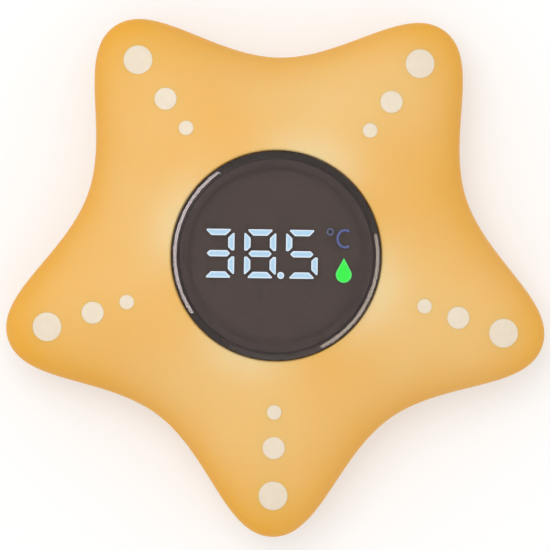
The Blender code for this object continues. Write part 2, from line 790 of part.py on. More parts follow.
def build_drop(material):
    """Water drop: a circle drawn out to a point."""
    side = math.asin(DROP_RADIUS / DROP_POINT)
    sweep = math.pi + 2 * side
    angles = [side - sweep * i / SYMBOL_STEPS for i in range(SYMBOL_STEPS + 1)]
    outline = [(DROP_CENTRE[0], DROP_CENTRE[1] + DROP_POINT)]
    for angle in angles:
        outline.append((
            DROP_CENTRE[0] + DROP_RADIUS * math.cos(angle),
            DROP_CENTRE[1] + DROP_RADIUS * math.sin(angle),
        ))
    lofted("water_drop", prism(outline, BAR_BOTTOM, BAR_TOP), material)


def build_board(board_material, chip_material):
    """Round board with a tongue over the probe, and the chip under it."""
    half = ELECTRODE_SPACING + TONGUE_MARGIN
    corner = math.asin(half / BOARD_RADIUS)
    first = FIRST_ARM + corner
    sweep = 2 * math.pi - 2 * corner
    outline = [around(BOARD_RADIUS, first + sweep * i / ROUND_SIDES) for i in range(ROUND_SIDES + 1)]
    end = -PROBE_DISTANCE - ELECTRODE_RADIUS - TONGUE_MARGIN
    outline += [(-half, end), (half, end)]
    board = lofted("circuit_board", prism(outline, BOARD_BOTTOM, BOARD_TOP), board_material)
    holes = [
        rod(PILOT_RADIUS, BOARD_BOTTOM - OVERRUN, BOARD_TOP + OVERRUN, around(BOARD_SCREW_CIRCLE, angle))
        for angle in SCREW_ANGLES
    ]
    combine(board, joined("board_holes", holes), "DIFFERENCE")
    half_side, y = CHIP_SIDE / 2, BOARD_RADIUS - CHIP_INSET
    chip = box_outline((-half_side, y - half_side), (half_side, y + half_side))
    lofted("processor", prism(rounded(chip, GAP), PIN_TOP - CHIP_HEIGHT, PIN_TOP), chip_material)


def build_probe(steel, bead_material):
    """Steel cap through the back, the sensor in it, and a water contact on either side."""
    centre = (0.0, -PROBE_DISTANCE)
    flange_low = WALL + GAP
    flange_high = flange_low + FLANGE_HEIGHT
    bore = PROBE_RADIUS - PROBE_WALL
    cap_floor = FACE_SINK + PROBE_WALL
    profile = [
        (0, FACE_SINK),
        (PROBE_RADIUS - PROBE_WALL, FACE_SINK),
        (PROBE_RADIUS, FACE_SINK + PROBE_WALL),
        (PROBE_RADIUS, flange_low),
        (PROBE_RADIUS + FLANGE_WIDTH, flange_low),
        (PROBE_RADIUS + FLANGE_WIDTH, flange_high),
        (PROBE_RADIUS, flange_high),
        (PROBE_RADIUS, FACE_SINK + PROBE_HEIGHT),
        (bore, FACE_SINK + PROBE_HEIGHT),
        (bore, cap_floor),
        (0, cap_floor),
    ]
    turned("probe_cap", profile, steel, sides=PIN_SIDES, centre=centre)

    middle = cap_floor + GAP + BEAD_RADIUS
    turns = [math.pi * (i / BEAD_STEPS - 0.5) for i in range(BEAD_STEPS + 1)]
    bead_profile = [(BEAD_RADIUS * math.cos(t), middle + BEAD_RADIUS * math.sin(t)) for t in turns]
    bead_profile[0] = (0, middle - BEAD_RADIUS)
    bead_profile[-1] = (0, middle + BEAD_RADIUS)
    bead = turned("temperature_sensor", bead_profile, bead_material, sides=PIN_SIDES, centre=centre)
    legs = [
        rod(LEG_RADIUS, middle, PIN_TOP, (side * LEG_SPACING / 2, -PROBE_DISTANCE), sides=LEG_SIDES)
        for side in (-1, 1)
    ]
    combine(bead, joined("sensor_legs", legs), "UNION")

    pin_profile = [
        (0, FACE_SINK),
        (ELECTRODE_RADIUS - GAP, FACE_SINK),
        (ELECTRODE_RADIUS, FACE_SINK + GAP),
        (ELECTRODE_RADIUS, flange_low),
        (ELECTRODE_REACH, flange_low),
        (ELECTRODE_REACH, flange_high),
        (ELECTRODE_PIN_RADIUS, flange_high),
        (ELECTRODE_PIN_RADIUS, PIN_TOP),
        (0, PIN_TOP),
    ]
    for side, x in (("left", -ELECTRODE_SPACING), ("right", ELECTRODE_SPACING)):
        turned(f"water_contact_{side}", pin_profile, steel, sides=PIN_SIDES, centre=(x, -PROBE_DISTANCE))


def main():
    """Clears the scene and builds every piece."""
    for thing in list(bpy.data.objects):
        bpy.data.objects.remove(thing)
    body = surface("orange_soft_plastic", (240, 195, 118), 0.5)
    cream = surface("cream_spots", (243, 228, 205), 0.5)
    smoked = surface("smoked_window", (52, 45, 42), 0.08)
    dark = surface("dark_housing", (40, 37, 36), 0.6)
    lit = surface("pale_blue_light", (200, 230, 250), 0.4)
    unit = surface("blue_light", (84, 104, 190), 0.4)
    drop = surface("green_light", (50, 250, 85), 0.4)
    board = surface("board_laminate", (34, 92, 56), 0.5)
    steel = surface("stainless_steel", (196, 197, 200), 0.25, metallic=1.0)
    rubber = surface("grey_rubber", (120, 120, 122), 0.7)
    tape = surface("foam_tape", (30, 30, 32), 0.9)
    bead = surface("sensor_epoxy", (30, 28, 28), 0.4)

    build_front_shell(body)
    build_back_shell(body)
    build_spots(cream)
    build_lens(smoked)
    build_adhesive(tape)
    build_block(dark)
    build_digits(lit)
    build_unit(unit)
    build_drop(drop)
    build_board(board, dark)
    build_cell(steel)
    build_contacts(steel)
    build_door(body)
    build_seal(rubber)
    build_screws(steel)
    build_probe(steel, bead)


main()
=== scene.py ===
"""Looks of a floating bath thermometer in the shape of a starfish.

Metres, +Z up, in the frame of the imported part: it lies on its flat back, the display faces +Z
and one arm points to -Y. Azimuth 0 is +X, and angles are in radians unless a name says degrees.
"""

import functools
import logging
import math
from dataclasses import dataclass
from enum import Enum
from typing import Sequence

import bmesh
import bpy
import numpy as np
from mathutils import Euler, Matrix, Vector


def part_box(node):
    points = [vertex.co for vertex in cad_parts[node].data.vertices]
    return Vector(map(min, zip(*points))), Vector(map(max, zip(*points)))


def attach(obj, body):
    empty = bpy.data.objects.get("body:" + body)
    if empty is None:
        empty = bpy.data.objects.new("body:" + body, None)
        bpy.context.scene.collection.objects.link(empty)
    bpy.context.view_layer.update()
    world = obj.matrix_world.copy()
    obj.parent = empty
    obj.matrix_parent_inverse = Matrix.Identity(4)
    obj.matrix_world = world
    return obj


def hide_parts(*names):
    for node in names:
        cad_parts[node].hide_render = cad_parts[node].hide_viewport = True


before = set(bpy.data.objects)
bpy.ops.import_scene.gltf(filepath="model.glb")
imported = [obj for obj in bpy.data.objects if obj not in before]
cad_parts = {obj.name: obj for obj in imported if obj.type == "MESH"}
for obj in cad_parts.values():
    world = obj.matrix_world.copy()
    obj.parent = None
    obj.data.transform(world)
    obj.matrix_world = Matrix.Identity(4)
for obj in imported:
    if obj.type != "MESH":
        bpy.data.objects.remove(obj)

log = logging.getLogger("bath_thermometer")

ROOT = "root"
MM = 0.001
CAD_GAP = 0.3 * MM
CUT = 1.0 * MM
# A ring of points under this radius is one point.
SPECK = 1e-7
# A corner straighter than this is left, and a rounding takes at most this share of an edge.
STRAIGHT = 0.01
ROUND_SHARE = 0.48
SCREWS = (1, 2, 3)

Colour = tuple[float, float, float]
Point = tuple[float, float]


class Slot(Enum):
    """Material slots of the record that the pieces take their finish from."""

    BODY = "body"
    SPOTS = "spots"
    WINDOW = "window"
    TAPE = "foam_tape"
    HOUSING = "display_housing"
    BARS = "lit_bars"
    UNIT = "lit_unit"
    DROP = "lit_drop"
    BOARD = "board_laminate"
    CHIP = "chip_resin"
    CELL = "cell_steel"
    BRASS = "contact_brass"
    SEAL = "seal_rubber"
    SCREW = "screw_steel"
    RESIN = "sensor_resin"
    PROBE = "probe_steel"


class Bar(Enum):
    """The seven places of a bar in a figure."""

    TOP = "top"
    UPPER_LEFT = "upper_left"
    UPPER_RIGHT = "upper_right"
    MIDDLE = "middle"
    LOWER_LEFT = "lower_left"
    LOWER_RIGHT = "lower_right"
    BOTTOM = "bottom"


class Figure(Enum):
    """The three figures on the display, from left to right."""

    TENS = "tens"
    ONES = "ones"
    TENTHS = "tenths"


class Cut(Enum):
    """Boolean operations, by Blender's names."""

    AWAY = "DIFFERENCE"
    ONTO = "UNION"


# Colour and material nodes


def linear(colour: Colour) -> tuple[float, float, float, float]:
    """Turns an sRGB colour given as 0 to 255 into linear values.

    Args:
        colour: Red, green and blue, each from 0 to 255.

    Returns:
        Linear red, green and blue with an alpha of one.
    """
    shares = [channel / 255 for channel in colour]
    values = [s / 12.92 if s <= 0.04045 else ((s + 0.055) / 1.055) ** 2.4 for s in shares]
    return (*values, 1.0)


class Bench:
    """Node tree of one new material, with short calls to add and wire its nodes."""

    def __init__(self, name: str) -> None:
        """Makes the material.

        Args:
            name: Name of the material.
        """
        self.material = bpy.data.materials.new(name)
        self.material.use_nodes = True
        self.tree = self.material.node_tree
        self.shader = self.tree.nodes["Principled BSDF"]
        self.output = self.tree.nodes["Material Output"]

    def add(self, kind: str, **settings: object) -> bpy.types.Node:
        """Adds a node.

        Args:
            kind: Blender's name of the node, without its prefix.
            **settings: Properties of the node.

        Returns:
            The new node.
        """
        node = self.tree.nodes.new("ShaderNode" + kind)
        for key, value in settings.items():
            setattr(node, key, value)
        return node

    def wire(self, source: bpy.types.NodeSocket, target: bpy.types.NodeSocket) -> None:
        """Joins an output to an input."""
        self.tree.links.new(source, target)

    def hold(self, **values: object) -> None:
        """Sets the shader's own inputs, named in words joined by underscores."""
        for key, value in values.items():
            self.shader.inputs[key.replace("_", " ")].default_value = value

    def noise(self, scale: float, detail: float = 2.0) -> bpy.types.NodeSocket:
        """Adds a noise over the piece's own coordinates.

        Args:
            scale: Waves in a metre.
            detail: Octaves of finer noise.

        Returns:
            The noise, from 0 to 1.
        """
        place = self.add("TexCoord")
        noise = self.add("TexNoise")
        noise.inputs["Scale"].default_value = scale
        noise.inputs["Detail"].default_value = detail
        self.wire(place.outputs["Object"], noise.inputs["Vector"])
        return noise.outputs["Fac"]

    def spread(self, source: bpy.types.NodeSocket, low: float, high: float) -> bpy.types.NodeSocket:
        """Stretches the middle of a noise to a range of values.

        Args:
            source: The noise.
            low: Value where the noise is 0.3.
            high: Value where the noise is 0.7.

        Returns:
            The stretched value.
        """
        node = self.add("MapRange")
        node.inputs["From Min"].default_value = 0.3
        node.inputs["From Max"].default_value = 0.7
        node.inputs["To Min"].default_value = low
        node.inputs["To Max"].default_value = high
        self.wire(source, node.inputs["Value"])
        return node.outputs["Result"]

    def blend(
        self, share: bpy.types.NodeSocket, first: Colour, second: Colour
    ) -> bpy.types.NodeSocket:
        """Blends two colours.

        Args:
            share: Share of the second colour.
            first: Colour at 0.
            second: Colour at 1.

        Returns:
            The blended colour.
        """
        node = self.add("Mix", data_type="RGBA")
        node.inputs[6].default_value = linear(first)
        node.inputs[7].default_value = linear(second)
        self.wire(share, node.inputs[0])
        return node.outputs[2]

    def shade(
        self, colour: Colour | bpy.types.NodeSocket, share: bpy.types.NodeSocket
    ) -> bpy.types.NodeSocket:
        """Darkens a colour.

        Args:
            colour: The colour, or the output that gives it.
            share: Share of the colour that is left.

        Returns:
            The darkened colour.
        """
        node = self.add("Mix", data_type="RGBA", blend_type="MULTIPLY")
        node.inputs[0].default_value = 1.0
        if isinstance(colour, bpy.types.NodeSocket):
            self.wire(colour, node.inputs[6])
        else:
            node.inputs[6].default_value = linear(colour)
        self.wire(share, node.inputs[7])
        return node.outputs[2]

    def total(self, first: bpy.types.NodeSocket, second: bpy.types.NodeSocket) -> bpy.types.NodeSocket:
        """Adds two values and keeps the sum between 0 and 1.

        Args:
            first: First value.
            second: Second value.

        Returns:
            The sum.
        """
        node = self.add("Math", operation="ADD", use_clamp=True)
        self.wire(first, node.inputs[0])
        self.wire(second, node.inputs[1])
        return node.outputs[0]

    def bump(self, height: bpy.types.NodeSocket, depth: float, strength: float = 1.0) -> None:
        """Raises the surface by a height, on top of any bump that is there.

        Args:
            height: Height as a share of the depth.
            depth: Depth in metres.
            strength: Share of the effect.
        """
        node = self.add("Bump")
        node.inputs["Strength"].default_value = strength
        node.inputs["Distance"].default_value = depth
        self.wire(height, node.inputs["Height"])
        normal = self.shader.inputs["Normal"]
        if normal.is_linked:
            self.wire(normal.links[0].from_socket, node.inputs["Normal"])
        self.wire(node.outputs["Normal"], normal)

    def attribute(self, name: str) -> bpy.types.NodeSocket:
        """Reads a value that the mesh holds at each point."""
        return self.add("Attribute", attribute_name=name).outputs["Fac"]


def seen(tree: bpy.types.NodeTree) -> bpy.types.NodeSocket:
    """Finds where the camera sees a surface, directly, in a gloss or through the window.

    Args:
        tree: Node tree to work in.

    Returns:
        One where it is seen so, else zero.
    """
    path = tree.nodes.new("ShaderNodeLightPath")
    found = path.outputs["Is Camera Ray"]
    for output in ("Is Glossy Ray", "Is Transmission Ray"):
        larger = tree.nodes.new("ShaderNodeMath")
        larger.operation = "MAXIMUM"
        tree.links.new(found, larger.inputs[0])
        tree.links.new(path.outputs[output], larger.inputs[1])
        found = larger.outputs[0]
    return found


def wave_scale(pitch: float) -> float:
    """Gives the scale of a wave node whose waves stand at a pitch."""
    return math.pi / (10 * pitch)


@dataclass(frozen=True)
class SoftPlastic:
    """Soft yellow-orange moulded plastic, blended from a deep to a pale colour by a value at each point,
    which carries painted highlights and painted shade.
    """

    name: str
    pale: Colour
    deep: Colour
    cloud: float = 0.07
    cloud_scale: float = 42.0
    roughness: float = 0.46
    roughness_swing: float = 0.04
    roughness_scale: float = 900.0
    refraction: float = 1.46
    specular: float = 0.35
    glow_depth: float = 2.2 * MM
    glow_share: float = 0.25
    glow_reach: Colour = (1.0, 0.42, 0.16)
    grain: float = 0.012 * MM
    grain_scale: float = 5200.0
    grain_strength: float = 0.5
    wave: float = 0.036 * MM
    wave_scale: float = 260.0
    wave_strength: float = 0.35

    @functools.cache
    def made(self) -> bpy.types.Material:
        """Makes the material once.

        Returns:
            The material.
        """
        bench = Bench(self.name)
        mottle = bench.spread(bench.noise(self.cloud_scale), -self.cloud, self.cloud)
        # The point value paints light and shade into the colour: painted highlights towards pale, painted
        # shade towards deep. The mottle is random tone.
        tone_and_painted_light = bench.total(bench.attribute("tone_and_painted_light"), mottle)
        bench.wire(bench.blend(tone_and_painted_light, self.deep, self.pale), bench.shader.inputs["Base Color"])
        low, high = self.roughness - self.roughness_swing, self.roughness + self.roughness_swing
        roughness = bench.spread(bench.noise(self.roughness_scale), low, high)
        bench.wire(roughness, bench.shader.inputs["Roughness"])
        bench.hold(IOR=self.refraction, Specular_IOR_Level=self.specular)
        bench.hold(Subsurface_Weight=self.glow_share, Subsurface_Scale=self.glow_depth)
        bench.hold(Subsurface_Radius=self.glow_reach)
        bench.bump(bench.noise(self.grain_scale, detail=3.0), self.grain, self.grain_strength)
        bench.bump(bench.noise(self.wave_scale, detail=1.0), self.wave, self.wave_strength)
        return bench.material


@dataclass(frozen=True)
class Mottled:
    """Plain finish with a slight mottle in its colour and roughness, and a fine grain."""

    name: str
    colour: Colour
    second: Colour
    roughness: float
    roughness_swing: float = 0.12
    metallic: float = 0.0
    specular: float = 0.5
    scale: float = 900.0
    roughness_finer: float = 2.0
    grain_finer: float = 5.0
    grain: float = 0.01 * MM
    grain_strength: float = 0.6

    @functools.cache
    def made(self) -> bpy.types.Material:
        """Makes the material once.

        Returns:
            The material.
        """
        bench = Bench(self.name)
        mottle = bench.spread(bench.noise(self.scale, detail=3.0), 0.0, 1.0)
        bench.wire(bench.blend(mottle, self.colour, self.second), bench.shader.inputs["Base Color"])
        low = self.roughness * (1 - self.roughness_swing)
        high = min(1.0, self.roughness * (1 + self.roughness_swing))
        roughness = bench.spread(bench.noise(self.scale * self.roughness_finer), low, high)
        bench.wire(roughness, bench.shader.inputs["Roughness"])
        bench.hold(Metallic=self.metallic, Specular_IOR_Level=self.specular)
        bench.bump(bench.noise(self.scale * self.grain_finer), self.grain, self.grain_strength)
        return bench.material


@dataclass(frozen=True)
class SmokedWindow:
    """Clear smoked plastic with a hard polish."""

    name: str
    tint: Colour
    refraction: float = 1.36
    haze_scale: float = 160.0
    haze_least: float = 0.96
    smear_scale: float = 60.0
    roughness_least: float = 0.015
    roughness_most: float = 0.03

    @functools.cache
    def made(self) -> bpy.types.Material:
        """Makes the material once.

        Returns:
            The material.
        """
        bench = Bench(self.name)
        haze = bench.spread(bench.noise(self.haze_scale), self.haze_least, 1.0)
        bench.wire(bench.shade(self.tint, haze), bench.shader.inputs["Base Color"])
        noise = bench.noise(self.smear_scale, detail=4.0)
        smear = bench.spread(noise, self.roughness_least, self.roughness_most)
        bench.wire(smear, bench.shader.inputs["Roughness"])
        bench.hold(Transmission_Weight=1.0, IOR=self.refraction)
        return bench.material


@dataclass(frozen=True)
class Glow:
    """Lit mark with dark sides, one colour in its middle and another along its edge."""

    name: str
    middle: Colour
    edge: Colour
    strength: float
    body: Colour = (39, 39, 39)
    roughness: float = 0.4
    ripple: float = 0.08
    ripple_scale: float = 2600.0
    grain: float = 0.006 * MM
    grain_scale: float = 4200.0
    grain_strength: float = 0.4

    @functools.cache
    def made(self) -> bpy.types.Material:
        """Makes the material once.

        Returns:
            The material.
        """
        bench = Bench(self.name)
        ripple = bench.spread(bench.noise(self.ripple_scale), -self.ripple, self.ripple)
        core = bench.total(bench.attribute("core"), ripple)
        shown = bench.shade(bench.blend(core, self.edge, self.middle), bench.attribute("lit"))
        bench.wire(shown, bench.shader.inputs["Emission Color"])
        bench.hold(Emission_Strength=self.strength)
        bench.hold(Base_Color=linear(self.body), Roughness=self.roughness)
        bench.bump(bench.noise(self.grain_scale), self.grain, self.grain_strength)
        return bench.material


@dataclass(frozen=True)
class TurnedSteel:
    """Stainless steel with the fine rings that turning leaves round a centre."""

    name: str
    colour: Colour
    centre: Point = (0.0, 0.0)
    pitch: float = 0.14 * MM
    ring_depth: float = 0.004 * MM
    ring_strength: float = 0.5
    wander: float = 1.2
    stain_scale: float = 420.0
    stain_least: float = 0.86
    roughness: float = 0.24
    roughness_under: float = 0.05
    roughness_over: float = 0.08
    roughness_scale: float = 1400.0

    @functools.cache
    def made(self) -> bpy.types.Material:
        """Makes the material once.

        Returns:
            The material.
        """
        bench = Bench(self.name)
        place = bench.add("TexCoord")
        shift = bench.add("Mapping")
        shift.inputs["Location"].default_value = (-self.centre[0], -self.centre[1], 0.0)
        bench.wire(place.outputs["Object"], shift.inputs["Vector"])
        rings = bench.add("TexWave", wave_type="RINGS", rings_direction="Z")
        rings.inputs["Scale"].default_value = wave_scale(self.pitch)
        rings.inputs["Distortion"].default_value = self.wander
        rings.inputs["Detail"].default_value = 2.0
        bench.wire(shift.outputs["Vector"], rings.inputs["Vector"])
        stain = bench.spread(bench.noise(self.stain_scale, detail=3.0), self.stain_least, 1.0)
        bench.wire(bench.shade(self.colour, stain), bench.shader.inputs["Base Color"])
        low, high = self.roughness - self.roughness_under, self.roughness + self.roughness_over
        roughness = bench.spread(bench.noise(self.roughness_scale), low, high)
        bench.wire(roughness, bench.shader.inputs["Roughness"])
        bench.hold(Metallic=1.0)
        bench.bump(rings.outputs["Fac"], self.ring_depth, self.ring_strength)
        return bench.material


@dataclass(frozen=True)
class WovenLaminate:
    """Green lacquered laminate whose glass weave shows faintly."""

    name: str
    colour: Colour
    thread: Colour
    pitch: float = 0.5 * MM
    depth: float = 0.01 * MM
    strength: float = 0.4
    roughness: float = 0.35

    @functools.cache
    def made(self) -> bpy.types.Material:
        """Makes the material once.

        Returns:
            The material.
        """
        bench = Bench(self.name)
        place = bench.add("TexCoord")
        waves = []
        for direction in ("X", "Y"):
            wave = bench.add("TexWave", bands_direction=direction)
            wave.inputs["Scale"].default_value = wave_scale(self.pitch)
            bench.wire(place.outputs["Object"], wave.inputs["Vector"])
            waves.append(wave.outputs["Fac"])
        weave = bench.add("Math", operation="MULTIPLY")
        bench.wire(waves[0], weave.inputs[0])
        bench.wire(waves[1], weave.inputs[1])
        colour = bench.blend(weave.outputs[0], self.colour, self.thread)
        bench.wire(colour, bench.shader.inputs["Base Color"])
        bench.hold(Roughness=self.roughness)
        bench.bump(weave.outputs[0], self.depth, self.strength)
        return bench.material


# Its pale colour carries the painted highlights, and its deep colour the painted shade, that each shell
# writes at its points.
BODY_PLASTIC = SoftPlastic("soft_orange_plastic", pale=(247, 219, 164), deep=(245, 173, 22))
SPOT_PLASTIC = Mottled("cream_plastic", (244, 229, 206), (240, 224, 200), 0.5, scale=700.0)
WINDOW_PLASTIC = SmokedWindow("smoked_window_plastic", tint=(206, 188, 178))
FACE_PLASTIC = Mottled(
    "display_face", (123, 121, 126), (119, 117, 122), 0.6, grain=0.001 * MM, specular=0.2
)
# Border ink: the display face's colour made darker, painted shade that matches the shade falling on the
# recessed face.
BORDER_SHADED_INK = Mottled(
    "window_border_shaded_ink", (110, 108, 114), (106, 104, 110), 0.6, grain=0.001 * MM, specular=0.2
)
# Dark ring behind the window's edge: painted shade for the dark band at the window's edge.
EDGE_SHADE = Mottled(
    "window_edge_painted_shade", (46, 24, 20), (42, 21, 17), 0.6, grain=0.001 * MM, specular=0.2
)
BAR_LIGHT = Glow("pale_blue_light", middle=(151, 204, 243), edge=(200, 232, 255), strength=2.2)
UNIT_LIGHT = Glow("blue_light", middle=(94, 126, 212), edge=(98, 122, 202), strength=1.0)
RING_LIGHT = Glow("slate_blue_light", middle=(104, 126, 182), edge=(104, 126, 182), strength=1.0)
DROP_LIGHT = Glow("green_light", middle=(6, 254, 70), edge=(76, 255, 124), strength=1.8)
TAPE_FOAM = Mottled("foam_tape", (30, 30, 32), (42, 42, 44), 0.92, scale=2600.0, grain=0.05 * MM)
LAMINATE = WovenLaminate("board_laminate", colour=(28, 84, 50), thread=(44, 104, 66))
CHIP_RESIN = Mottled("chip_resin", (36, 36, 38), (44, 44, 46), 0.5, scale=3000.0)
CELL_STEEL = TurnedSteel("cell_steel", (202, 203, 205), pitch=0.3 * MM)
BRASS = Mottled("contact_brass", (214, 178, 110), (204, 166, 98), 0.28, metallic=1.0)
SEAL_RUBBER = Mottled("seal_rubber", (112, 112, 114), (124, 124, 126), 0.75)
SCREW_STEEL = Mottled("screw_steel", (188, 189, 192), (174, 175, 179), 0.26, metallic=1.0)
BEAD_RESIN = Mottled("sensor_resin", (34, 31, 30), (44, 40, 38), 0.3)


# Mesh work


def circle(radius: float, sides: int, centre: Point = (0.0, 0.0)) -> np.ndarray:
    """Places points round a circle.

    Args:
        radius: Radius of the circle.
        sides: Number of points.
        centre: Centre of the circle.

    Returns:
        The points, as rows of X and Y.
    """
    angles = np.linspace(0, 2 * math.pi, sides, endpoint=False)
    return np.column_stack([centre[0] + radius * np.cos(angles), centre[1] + radius * np.sin(angles)])


def at_height(outline: np.ndarray, height: float | np.ndarray) -> np.ndarray:
    """Lifts a flat outline, as rows of X and Y, to one height or to a height for each point."""
    return np.column_stack([outline, np.broadcast_to(height, len(outline))])


def softened(corners: Sequence[Point], radius: float, closed: bool = False, steps: int = 4) -> np.ndarray:
    """Rounds the corners of a line.

    Args:
        corners: Corners of the line, in order.
        radius: Radius of the rounding, less where an edge is short.
        closed: Whether the line comes back to its start. An open line keeps its ends.
        steps: Steps in each rounding.

    Returns:
        The points of the rounded line.
    """
    line = [np.array(corner, float) for corner in corners]
    made = []
    for i, corner in enumerate(line):
        if not closed and i in (0, len(line) - 1):
            made.append(corner)
            continue
        before = line[i - 1] - corner
        after = line[(i + 1) % len(line)] - corner
        short = min(np.hypot(*before), np.hypot(*after))
        before, after = before / np.hypot(*before), after / np.hypot(*after)
        half = math.acos(float(np.clip(before @ after, -1, 1))) / 2
        if half > math.pi / 2 - STRAIGHT:
            made.append(corner)
            continue
        size = min(radius, ROUND_SHARE * short * math.tan(half))
        middle = corner + (before + after) / np.hypot(*(before + after)) * size / math.sin(half)
        start = corner + before * size / math.tan(half) - middle
        turn = (math.pi - 2 * half) * (-1 if before[0] * after[1] > before[1] * after[0] else 1)
        for step in range(steps + 1):
            cosine, sine = math.cos(turn * step / steps), math.sin(turn * step / steps)
            x, y = start[0] * cosine - start[1] * sine, start[0] * sine + start[1] * cosine
            made.append(middle + [x, y])
    return np.array(made)


def set_in(outline: np.ndarray, distance: float) -> np.ndarray:
    """Sets a closed outline in by a small distance.

    Args:
        outline: Outline, as rows of X and Y.
        distance: Distance inwards. A negative one goes outwards.

    Returns:
        The new outline, point for point.
    """
    ahead = np.roll(outline, -1, axis=0) - outline
    behind = outline - np.roll(outline, 1, axis=0)
    ahead /= np.hypot(*ahead.T)[:, None]
    behind /= np.hypot(*behind.T)[:, None]
    along = ahead + behind
    along /= np.hypot(*along.T)[:, None]
    area = np.sum(outline[:, 0] * np.roll(outline[:, 1], -1) - np.roll(outline[:, 0], -1) * outline[:, 1])
    inward = np.column_stack([-along[:, 1], along[:, 0]]) * np.sign(area)
    stretch = np.clip(np.sum(along * ahead, axis=1), 0.5, 1)[:, None]
    return outline + inward * distance / stretch


class Skin:
    """Closed skins of one mesh, laid through rings of points."""

    def __init__(self) -> None:
        """Starts with no points."""
        self.points: list[np.ndarray] = []
        self.faces: list[tuple[int, ...]] = []
        self.count = 0

    def loft(self, rings: Sequence[np.ndarray], looped: bool = False) -> "Skin":
        """Adds a closed skin through rings of points.

        Args:
            rings: Rings with equal numbers of points. A first or last ring may be one point.
            looped: Whether the last ring joins the first. Otherwise both ends are closed.

        Returns:
            This skin.
        """
        starts = []
        for ring in rings:
            starts.append(self.count)
            self.points.append(ring)
            self.count += len(ring)
        pairs = list(zip(range(len(rings)), range(1, len(rings))))
        if looped:
            pairs.append((len(rings) - 1, 0))
        for low, high in pairs:
            first, second = starts[low], starts[high]
            sides = max(len(rings[low]), len(rings[high]))
            for i in range(sides):
                j = (i + 1) % sides
                if len(rings[low]) == 1:
                    self.faces.append((first, second + j, second + i))
                elif len(rings[high]) == 1:
                    self.faces.append((first + i, first + j, second))
                else:
                    self.faces.append((first + i, first + j, second + j, second + i))
        if not looped:
            for start, ring in ((starts[0], rings[0]), (starts[-1], rings[-1])):
                if len(ring) > 1:
                    self.faces.append(tuple(range(start, start + len(ring))))
        return self

    def turn(
        self, profile: np.ndarray, sides: int, centre: Point = (0.0, 0.0), looped: bool = False
    ) -> "Skin":
        """Adds a turned skin.

        Args:
            profile: Profile, as rows of radius and height.
            sides: Number of sides.
            centre: Centre of the turning.
            looped: Whether the profile is closed, as on a ring.

        Returns:
            This skin.
        """
        rings = []
        for radius, height in profile:
            if radius < SPECK:
                rings.append(np.array([[*centre, height]]))
            else:
                rings.append(at_height(circle(radius, sides, centre), height))
        return self.loft(rings, looped)

    def made(self, name: str, sharp: float = 35.0) -> bpy.types.Object:
        """Makes the object, with its faces pointing out.

        Args:
            name: Name of the object.
            sharp: Edges sharper than this angle, in degrees, stay sharp.

        Returns:
            The object, linked to the scene.
        """
        mesh = bpy.data.meshes.new(name)
        mesh.from_pydata(np.concatenate(self.points).tolist(), [], self.faces)
        work = bmesh.new()
        work.from_mesh(mesh)
        bmesh.ops.recalc_face_normals(work, faces=work.faces)
        work.to_mesh(mesh)
        work.free()
        smooth(mesh, sharp)
        piece = bpy.data.objects.new(name, mesh)
        bpy.context.scene.collection.objects.link(piece)
        return piece


def smooth(mesh: bpy.types.Mesh, sharp: float) -> None:
    """Shades a mesh smooth, apart from edges sharper than an angle in degrees."""
    mesh.shade_smooth()
    mesh.set_sharp_from_angle(angle=math.radians(sharp))


def worked(piece: bpy.types.Object, tools: Sequence[tuple[Cut, Skin]], sharp: float = 35.0) -> None:
    """Cuts skins away from a piece, or joins them onto it, and keeps only the result.

    Args:
        piece: Piece to work on.
        tools: Each operation with the skins that it uses, in order.
        sharp: Edges sharper than this angle, in degrees, stay sharp.
    """
    helpers = []
    for number, (cut, skin) in enumerate(tools):
        helper = skin.made(f"{piece.name}_tool_{number}")
        modifier = piece.modifiers.new(helper.name, "BOOLEAN")
        modifier.operation = cut.value
        modifier.solver = "EXACT"
        modifier.object = helper
        helpers.append(helper)
    graph = bpy.context.evaluated_depsgraph_get()
    mesh = bpy.data.meshes.new_from_object(piece.evaluated_get(graph))
    if not mesh.polygons:
        raise RuntimeError(f"{piece.name}: the cut left nothing")
    piece.modifiers.clear()
    piece.data = mesh
    for helper in helpers:
        bpy.data.objects.remove(helper)
    smooth(mesh, sharp)


def write_values(piece: bpy.types.Object, name: str, values: np.ndarray) -> None:
    """Keeps a value at each point of a piece, for its material to read."""
    layer = piece.data.attributes.new(name, "FLOAT", "POINT")
    layer.data.foreach_set("value", np.asarray(values, np.float32))


def coordinates(piece: bpy.types.Object) -> np.ndarray:
    """Reads the points of a piece.

    Args:
        piece: The piece.

    Returns:
        Its points, as rows of X, Y and Z.
    """
    flat = np.zeros(len(piece.data.vertices) * 3, np.float32)
    piece.data.vertices.foreach_get("co", flat)
    return flat.reshape(-1, 3).astype(float)


def dress(
    piece: bpy.types.Object, material: bpy.types.Material, slot: Slot, nodes: Sequence[str] = ()
) -> None:
    """Gives a new piece its material, its body and the nodes that it stands for.

    Args:
        piece: The new piece.
        material: Its material.
        slot: The record's slot that its finish comes from; not used.
        nodes: Nodes of the part that it stands for.
    """
    piece.data.materials.clear()
    piece.data.materials.append(material)
    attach(piece, ROOT)
    if nodes:
        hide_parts(*nodes)
    stands_for = ", ".join(nodes) or "no node"
    log.info("%s: %d faces, stands for %s", piece.name, len(piece.data.polygons), stands_for)


def paint(nodes: Sequence[str], material: bpy.types.Material, slot: Slot) -> None:
    """Gives nodes of the part that stay a better material.

    Args:
        nodes: Names of the nodes.
        material: Their material.
        slot: The record's slot that their finish comes from; not used.
    """
    for name in nodes:
        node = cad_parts[name]
        for place in node.material_slots:
            place.material = material
        if not node.material_slots:
            node.data.materials.append(material)
        log.info("%s: kept, finish %s", name, material.name)


